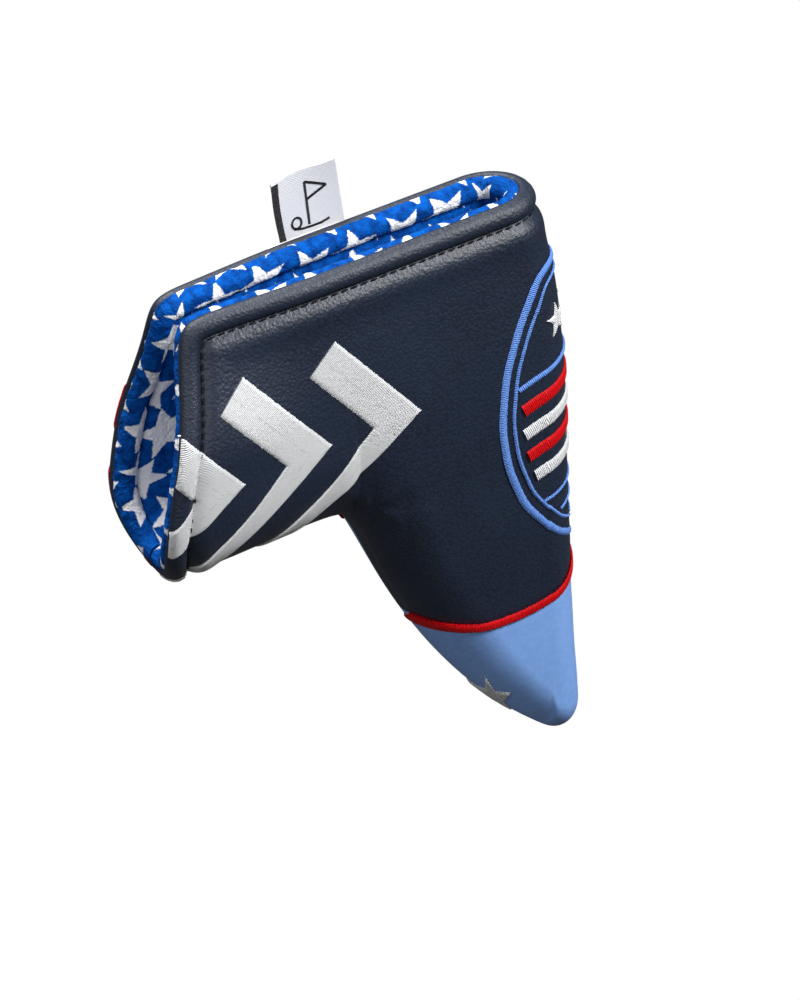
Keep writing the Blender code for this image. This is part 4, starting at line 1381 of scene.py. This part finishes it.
    def shield(self, inset: float) -> np.ndarray:
        """Outline of the shield, moved inwards, from the top middle round and back."""
        top, foot = self.crest_top - inset, self.crest_foot + 1.5 * inset
        half = self.crest_half - inset
        shape = ((0.0, 1.0), (0.3, 1.01), (0.55, 1.0), (0.78, 0.86), (0.93, 0.72), (1.0, 0.55))
        shape += ((0.97, 0.4), (0.84, 0.24), (0.55, 0.1), (0.2, 0.02), (0.0, 0.0))
        left = [(-across * half, mix(foot, top, up)) for across, up in shape]
        points = np.array(left + [(-x, z) for x, z in left[-2::-1]])
        steps = lengths_along(points)
        return smoothed_path(read_at(points, steps, np.linspace(0.0, steps[-1], 400)), 5.0)

    def star(self, name: str, radius: float, turn: float, place: Place, flip: bool = True) -> bpy.types.Object:
        """A white five-pointed star filled with stitches.

        Args:
            name: the piece's name.
            radius: distance from its middle to a point.
            turn: angle of its first point.
            place: function of two coordinates and the lift that gives places in the frame.
            flip: whether the faces have to be turned over.

        Returns:
            The star.
        """
        angles = np.linspace(0.0, 2.0 * math.pi, 121)
        fold = np.abs((angles + HALF_POINT) % (2.0 * math.pi / 5.0) - HALF_POINT)
        waist = 0.43 * radius
        notch = (waist * math.cos(HALF_POINT), waist * math.sin(HALF_POINT))
        reach = radius * notch[1] / (notch[1] * np.cos(fold) + (radius - notch[0]) * np.sin(fold))
        share = np.linspace(0.0, 1.0, 14)[:, None]
        a, b = share * reach * np.cos(angles + turn), share * reach * np.sin(angles + turn)
        lift = self.lift * np.sqrt(np.clip((1.0 - share) * reach / 0.0009, 0.05, 1.0))
        cloth = np.stack([b, a], -1)
        obj = self.bench.grid(name, place(a, b, lift + 0 * a), cloth, flip)
        return self.bench.finish(obj, "white_thread", self.line_thickness, "pocket")

    def crest(self) -> None:
        """A plain shield round the spine: two outlines, stars over a line, stripes and waves."""
        place = self.bench.pouch.round_spine
        outline = self.band("crest_line", self.shield(0.0011), 0.0019, "blue_thread", place, True)
        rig.replaces(outline, "crest_border")
        self.band("crest_inner_line", self.shield(0.0040), 0.0009, "blue_thread", place, True)
        chief = self.crest_top - 0.0240
        bow = 0.0032

        def line(height: float, half: float) -> np.ndarray:
            """A bowed line across the shield."""
            across = np.linspace(-half, half, 220)
            return np.stack([across, height - bow * (across / self.crest_half) ** 2 * 2.2], 1)

        band = self.band("crest_band", line(chief, 0.0255), 0.0015, "blue_thread", place)
        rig.replaces(band, "crest_chief")
        for name, arc, radius in (("middle", 0.0, 0.0062), ("front", -0.0125, 0.0044), ("back", 0.0125, 0.0044)):
            star = self.star(
                f"crest_{name}_star", radius, 0.5 * math.pi,
                lambda a, b, lift, arc=arc: place(a + arc, b + chief + 0.0105 - 0.11 * abs(arc), lift),
            )
            if arc == 0.0:
                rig.replaces(star, "crest_star")
        for number, half in enumerate((0.0262, 0.0262, 0.0255, 0.0238)):
            middle = chief - 0.0062 - 0.0066 * number
            finish = "red_thread" if number % 2 == 0 else "white_thread"
            stripe = self.band(f"crest_bar_{number + 1}", line(middle, half - 0.0015), 0.0034, finish, place)
            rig.replaces(stripe, f"crest_stripe_{number + 1}")
        for number, half in enumerate((0.0200, 0.0150, 0.0090)):
            middle = chief - 0.0350 - 0.0058 * number
            self.band(f"crest_wave_{number + 1}", line(middle, half), 0.0010, "blue_thread", place)

    def toe_star(self) -> None:
        """A star folded round the lower edge of the toe."""
        pouch = self.bench.pouch
        middle = pouch.column_at(np.array([-0.0310]), np.array([0.0205]))[0]
        near = pouch.point(np.array([middle, middle + MM]), 0.0, 0.0, Side.FRONT)
        rate = MM / np.linalg.norm(near[1] - near[0])
        rows = np.linspace(0.0, 0.6, 200)
        line = pouch.point(np.full(200, middle), rows, 0.0, Side.FRONT)
        arcs = lengths_along(line)

        def place(a: np.ndarray, b: np.ndarray, lift: np.ndarray) -> np.ndarray:
            """Places from along the seam and round from it."""
            b = b - 0.0045
            v = np.interp(np.abs(b), arcs, rows)
            front, back = (pouch.point(middle - a * rate, v, -lift, side) for side in Side)
            return np.where((b < 0)[..., None], front, back)

        star = self.star("toe_edge_star", 0.0095, math.radians(-65.0), place, False)
        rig.replaces(star, "toe_star")

    def build(self) -> None:
        """Makes all of the embroidery."""
        for side in Side:
            self.arrows(side)
        self.border()
        self.crest()
        self.toe_star()


# ------------------------------------------------------------------ seams and label


@dataclass
class RimSeam:
    """Lock stitches in the groove under the rolled rim."""

    bench: Bench
    pitch: float = 0.0027
    radius: float = 0.00026
    length: float = 0.0019

    def build(self) -> None:
        """Makes one piece of stitches for each wall."""
        for side in Side:
            self.row(side)

    def row(self, side: Side) -> None:
        """Stitches of one wall, each a rounded bar laid along the groove."""
        pouch = self.bench.pouch
        u, v, _ = pouch.rim_places(np.array([pouch.bead_width + 0.35 * MM]))
        line = pouch.point(u[:, 0], v[:, 0], 0.0008, side)
        steps = lengths_along(line)

        def on_line(run: float) -> Vector:
            """Place on the groove's line after this length."""
            return Vector([np.interp(run, steps, line[:, axis]) for axis in range(3)])

        bars = []
        for middle in np.arange(self.pitch, steps[-1] - 0.004, self.pitch):
            first, last = (on_line(middle + sign * 0.5 * self.length) for sign in (-1, 1))
            bars.append((first.lerp(last, 0.5), last - first))
        bpy.ops.object.select_all(action="DESELECT")
        bpy.ops.mesh.primitive_uv_sphere_add(segments=8, ring_count=6, radius=self.radius)
        bar = bpy.context.object
        bar.scale = (1.0, 1.0, 0.5 * self.length / self.radius)
        bpy.ops.object.transform_apply(location=False, rotation=False, scale=True)
        cage = bmesh.new()
        for middle, along in bars:
            turn = along.to_track_quat("Z", "Y").to_matrix().to_4x4()
            start = len(cage.verts)
            cage.from_mesh(bar.data)
            cage.verts.ensure_lookup_table()
            bmesh.ops.transform(cage, matrix=Matrix.Translation(middle) @ turn, verts=cage.verts[start:])
        cage.to_mesh(bar.data)
        cage.free()
        bar.name = bar.data.name = f"{side.word}_rim_stitches"
        self.bench.finish(bar, "navy_thread", 0.0, "pocket", f"{side.word}_flap", merge=False)


@dataclass
class WovenLabel:
    """Folded satin ribbon that stands at the back rim, with a golf flag and a ball woven in."""

    bench: Bench
    thickness: float = 0.00045
    ribbon_gap: float = 0.0009
    shift: float = 0.0042
    sink: float = 0.0018
    lap: float = 0.0014
    fold_at: float = 0.47

    def sway(self, across: np.ndarray, up: np.ndarray) -> np.ndarray:
        """How far the ribbon stands back from its upright plane."""
        return 0.0011 * np.sin(2.2 * across + 0.4) * up + 0.0006 * up**2 * np.cos(3.0 * across)

    def droop(self, across: np.ndarray, up: np.ndarray) -> np.ndarray:
        """How far the ribbon stands above or below its straight height."""
        return (0.0006 * np.sin(5.0 * across) - 0.0006 - 0.0030 * (1.0 - across)) * up

    def build(self) -> None:
        """Makes the ribbon, its dark left edge and its badge."""
        low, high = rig.box("woven_label")
        middle_y = 0.5 * (low.y + high.y)
        low = low + Vector((self.shift, 0.0, -self.sink))
        width, tall = high.x - low.x + self.lap, high.z - low.z
        profile = np.linspace(0.0, 1.0, 120)
        turn = np.clip((profile - self.fold_at) / 0.06, 0.0, 1.0) * math.pi
        up = np.where(profile < 0.5, profile / self.fold_at, (1.0 - profile) / self.fold_at).clip(0.0, 1.0)
        bend = np.sin(turn) * 0.5 * self.ribbon_gap
        across = np.linspace(0.0, 1.0, 60)
        rows = low.z + up * (tall - 0.5 * self.ribbon_gap) + bend
        offset = -np.cos(turn) * 0.5 * self.ribbon_gap
        x = low.x + across[None, :] * width + 0.0007 * up[:, None] * np.sin(4.0 * across[None, :])
        y = middle_y + offset[:, None] + self.sway(across[None, :], up[:, None])
        z = rows[:, None] + self.droop(across[None, :], up[:, None])
        places = np.stack([x, y, z + 0 * x], -1)
        label = self.bench.strip("ribbon_label", places, "ribbon", self.thickness, "back_flap", "label")
        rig.replaces(label, "woven_label")
        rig.sheet(label, flat=(width, 2.0 * tall), held="folded", rests_on=["label_tail"])
        face = (low, width, tall, middle_y)
        self.badge(*face)
        self.edge(*face)
        self.tail()

    def on_face(
        self, across: np.ndarray, up: np.ndarray, low: Vector, width: float, tall: float, middle_y: float
    ) -> np.ndarray:
        """Places on the ribbon's front face.

        Args:
            across: share of the ribbon's width.
            up: share of its height.
            low: its lowest corner.
            width: its width.
            tall: its height.
            middle_y: Y of the middle of the fold.

        Returns:
            The places in the frame.
        """
        y = middle_y - 0.5 * self.ribbon_gap - 0.00012 + self.sway(across, up)
        x = low.x + across * width + 0.0007 * up * np.sin(4.0 * across)
        z = low.z + up * tall + self.droop(across, up)
        return np.stack([x, y, z], -1)

    def line(self, name: str, path: np.ndarray, width: float, *face: Vector | float) -> bpy.types.Object:
        """A woven line on the ribbon.

        Args:
            name: the piece's name.
            path: points of the line, in shares of the ribbon's width and height.
            width: the line's width.
            face: the ribbon's lowest corner, width, height and middle, as on_face takes them.

        Returns:
            The line.
        """
        steps = lengths_along(path)
        path = read_at(path, steps, np.linspace(0.0, steps[-1], 90))
        slope = directions(path)
        t = np.linspace(-0.5, 0.5, 5)[None, :] * width / face[2]
        across = path[:, :1] - slope[:, 1:] * t
        up = path[:, 1:] + slope[:, :1] * t
        places = self.on_face(across, up, *face)
        return self.bench.strip(name, places, "black_thread", 0.0002, "back_flap", "label", flip=True)

    def badge(self, *face: Vector | float) -> None:
        """The flag on its stick, the ground line and the ball."""
        flag = np.array([(0.46, 0.20), (0.46, 0.80), (0.80, 0.68), (0.46, 0.55)])
        piece = self.line("label_flag_lines", flag, 0.0007, *face)
        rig.replaces(piece, "label_flag")
        ground = np.array([(0.22, 0.20), (0.35, 0.17), (0.5, 0.165), (0.65, 0.17), (0.78, 0.20)])
        self.line("label_ground_line", ground, 0.0006, *face)
        angles = np.linspace(0.0, 2.0 * math.pi, 60)
        ball = np.stack([0.27 + 0.072 * np.cos(angles), 0.275 + 0.078 * np.sin(angles)], 1)
        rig.replaces(self.line("label_ball_line", ball, 0.0006, *face), "label_ball")

    def edge(self, *face: Vector | float) -> None:
        """A black line down the left of the ribbon, which bows towards the edge."""
        rows = np.linspace(0.0, 0.97, 60)
        path = np.stack([0.045 - 0.03 * np.sin(3.0 * rows), rows], 1)
        self.line("label_selvedge", path, 0.0019, *face)

    def tail(self) -> None:
        """The sewn end of the ribbon, on the outside of the back wall."""
        pouch = self.bench.pouch
        low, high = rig.box("label_tail")
        x = np.linspace(low.x, high.x, 40) - pouch.seat[0]
        z = np.linspace(low.z, high.z, 24) + pouch.seat[1]
        z, x = np.meshgrid(z, x, indexing="ij")
        places = pouch.laid(x, z, np.full_like(x, 0.0005), Side.BACK)
        tail = self.bench.strip("ribbon_tail", places, "ribbon", 0.0005, "pocket", "back_flap", flip=True)
        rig.replaces(tail, "label_tail")


# ------------------------------------------------------------------ studio


@dataclass
class Studio:
    """Pale floor, soft lights and the camera."""

    look_at: tuple = (-0.038, 0.0, 0.075)
    azimuth: float = -24.5
    elevation: float = 31.5
    roll: float = 7.5
    distance: float = 0.800
    lens: float = 113.2
    shift: tuple = (0.0205, 0.0102)

    def camera(self) -> None:
        """The camera that the scene is seen from."""
        azimuth, elevation = math.radians(self.azimuth), math.radians(self.elevation)
        back = Vector((math.sin(azimuth), -math.cos(azimuth), 0.0)) * math.cos(elevation)
        back.z = math.sin(elevation)
        data = bpy.data.cameras.new("camera")
        data.lens = self.lens
        data.sensor_fit = "VERTICAL"
        data.sensor_height = 36.0
        data.shift_x, data.shift_y = self.shift
        data.clip_start = 0.01
        camera = bpy.data.objects.new("camera", data)
        bpy.context.scene.collection.objects.link(camera)
        turn = back.to_track_quat("Z", "Y").to_matrix().to_4x4()
        roll = Matrix.Rotation(math.radians(-self.roll), 4, "Z")
        camera.matrix_world = Matrix.Translation(Vector(self.look_at) + back * self.distance) @ turn @ roll
        bpy.context.scene.camera = camera

    def floor(self, height: float) -> None:
        """A pale floor under the cover."""
        bpy.ops.object.select_all(action="DESELECT")
        bpy.ops.mesh.primitive_plane_add(size=30.0, location=(0.0, 0.0, height))
        floor = bpy.context.object
        floor.name = "floor"
        floor.visible_diffuse = floor.visible_glossy = False
        weave = Weave("bright floor")
        weave.shader.inputs["Emission Color"].default_value = (1.0, 1.0, 1.0, 1.0)
        weave.shader.inputs["Base Color"].default_value = (0.0, 0.0, 0.0, 1.0)
        weave.shader.inputs["Specular IOR Level"].default_value = 0.0
        weave.shader.inputs["Emission Strength"].default_value = 1.0
        floor.data.materials.append(weave.material)
        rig.stage(floor)

    def lamp(self, name: str, place: tuple, power: float, size: float) -> None:
        """A square soft light that looks at the cover.

        Args:
            name: the light's name.
            place: where it stands.
            power: its power in watts.
            size: its side.
        """
        data = bpy.data.lights.new(name, "AREA")
        data.energy = power
        data.size = size
        lamp = bpy.data.objects.new(name, data)
        bpy.context.scene.collection.objects.link(lamp)
        lamp.location = place
        lamp.rotation_euler = (Vector(place) - Vector(self.look_at)).to_track_quat("Z", "Y").to_euler()

    def build(self, height: float) -> None:
        """Sets up the studio, with the floor at this height."""
        self.camera()
        self.floor(height)
        self.lamp("key light", (0.75, -0.85, 1.1), 36.0, 0.55)
        self.lamp("top light", (-0.15, 0.35, 1.2), 22.0, 0.6)
        self.lamp("fill light", (-1.1, -0.8, 0.9), 8.0, 0.9)
        world = bpy.data.worlds.new("studio")
        world.use_nodes = True
        sky = world.node_tree.nodes["Background"]
        sky.inputs["Color"].default_value = (1.0, 1.0, 1.0, 1.0)
        sky.inputs["Strength"].default_value = 0.09
        bpy.context.scene.world = world
        bpy.context.scene.view_settings.view_transform = "Standard"


def finishes() -> dict:
    """All of the finishes, by name."""
    return {
        "navy": Leather(
            "navy leather", (0.0095, 0.0185, 0.0400), (0.004, 0.008, 0.019), 0.0008, 0.00011, (0.38, 0.54)
        ).make(),
        "bead": Leather(
            "navy rolled leather", (0.0095, 0.0175, 0.0370), (0.004, 0.008, 0.018), 0.0007, 0.00012, (0.44, 0.58)
        ).make(),
        "sky": Leather(
            "sky blue leather", (0.21, 0.38, 0.76), (0.17, 0.33, 0.70), 0.0016, 0.00002, (0.38, 0.46)
        ).make(),
        # The second colour of each thread is its painted shade between threads.
        "white_thread": Thread("white thread", (0.76, 0.77, 0.78), (0.38, 0.40, 0.42)).make(),
        "red_thread": Thread("red thread", (0.66, 0.001, 0.004), (0.36, 0.0, 0.002)).make(),
        "blue_thread": Thread("pale blue thread", (0.13, 0.29, 0.76), (0.05, 0.12, 0.42)).make(),
        "black_thread": Thread("black thread", (0.015, 0.015, 0.016), (0.006, 0.006, 0.006)).make(),
        "navy_thread": Thread("navy thread", (0.012, 0.016, 0.030), (0.005, 0.007, 0.012)).make(),
        # The plush's second blue is its painted shade.
        "plush": StarPlush("starred plush", (0.0, 0.078, 0.37), (0.0, 0.030, 0.17), (0.80, 0.81, 0.83)).make(),
        "ribbon": Ribbon("satin ribbon", (0.66, 0.67, 0.70)).make(),
    }


def dress_hidden(frame: dict) -> None:
    """Gives the magnets inside the flaps their nickel plate."""
    weave = Weave("nickel plate")
    place = weave.places.outputs["Object"]
    weave.shader.inputs["Metallic"].default_value = 1.0
    shine = weave.colours(weave.noise(place, 900.0), (0.62, 0.61, 0.59), (0.50, 0.50, 0.49))
    weave.put(weave.shader.inputs["Base Color"], shine)
    weave.put(weave.shader.inputs["Roughness"], weave.ramp(weave.noise(place, 300.0), 0.3, 0.7, 0.25, 0.4))
    for name, node in frame["nodes"].items():
        if "magnet" in name:
            node.data.materials.clear()
            node.data.materials.append(weave.material)


def main() -> None:
    """Builds the cover round the frame and keeps its two boxes."""
    logging.basicConfig(level=logging.INFO, format="%(name)s %(message)s")
    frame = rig.load()
    model_box = [list(corner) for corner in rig.bounds()]
    studio = Studio()
    studio.build(model_box[0][2])
    bench = Bench(Pouch(), finishes())
    walls = LeatherWalls(bench)
    walls.build()
    PlushLining(bench).build()
    Embroidery(bench, walls).build()
    RimSeam(bench).build()
    WovenLabel(bench).build()
    dress_hidden(frame)
    LOG.info("%d pieces", bench.count)
    with open(SIZE_FILE, "w", encoding="utf-8") as file:
        json.dump({"cad": model_box, "visual": [list(corner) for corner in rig.bounds()]}, file)


if __name__ == "__main__":
    main()
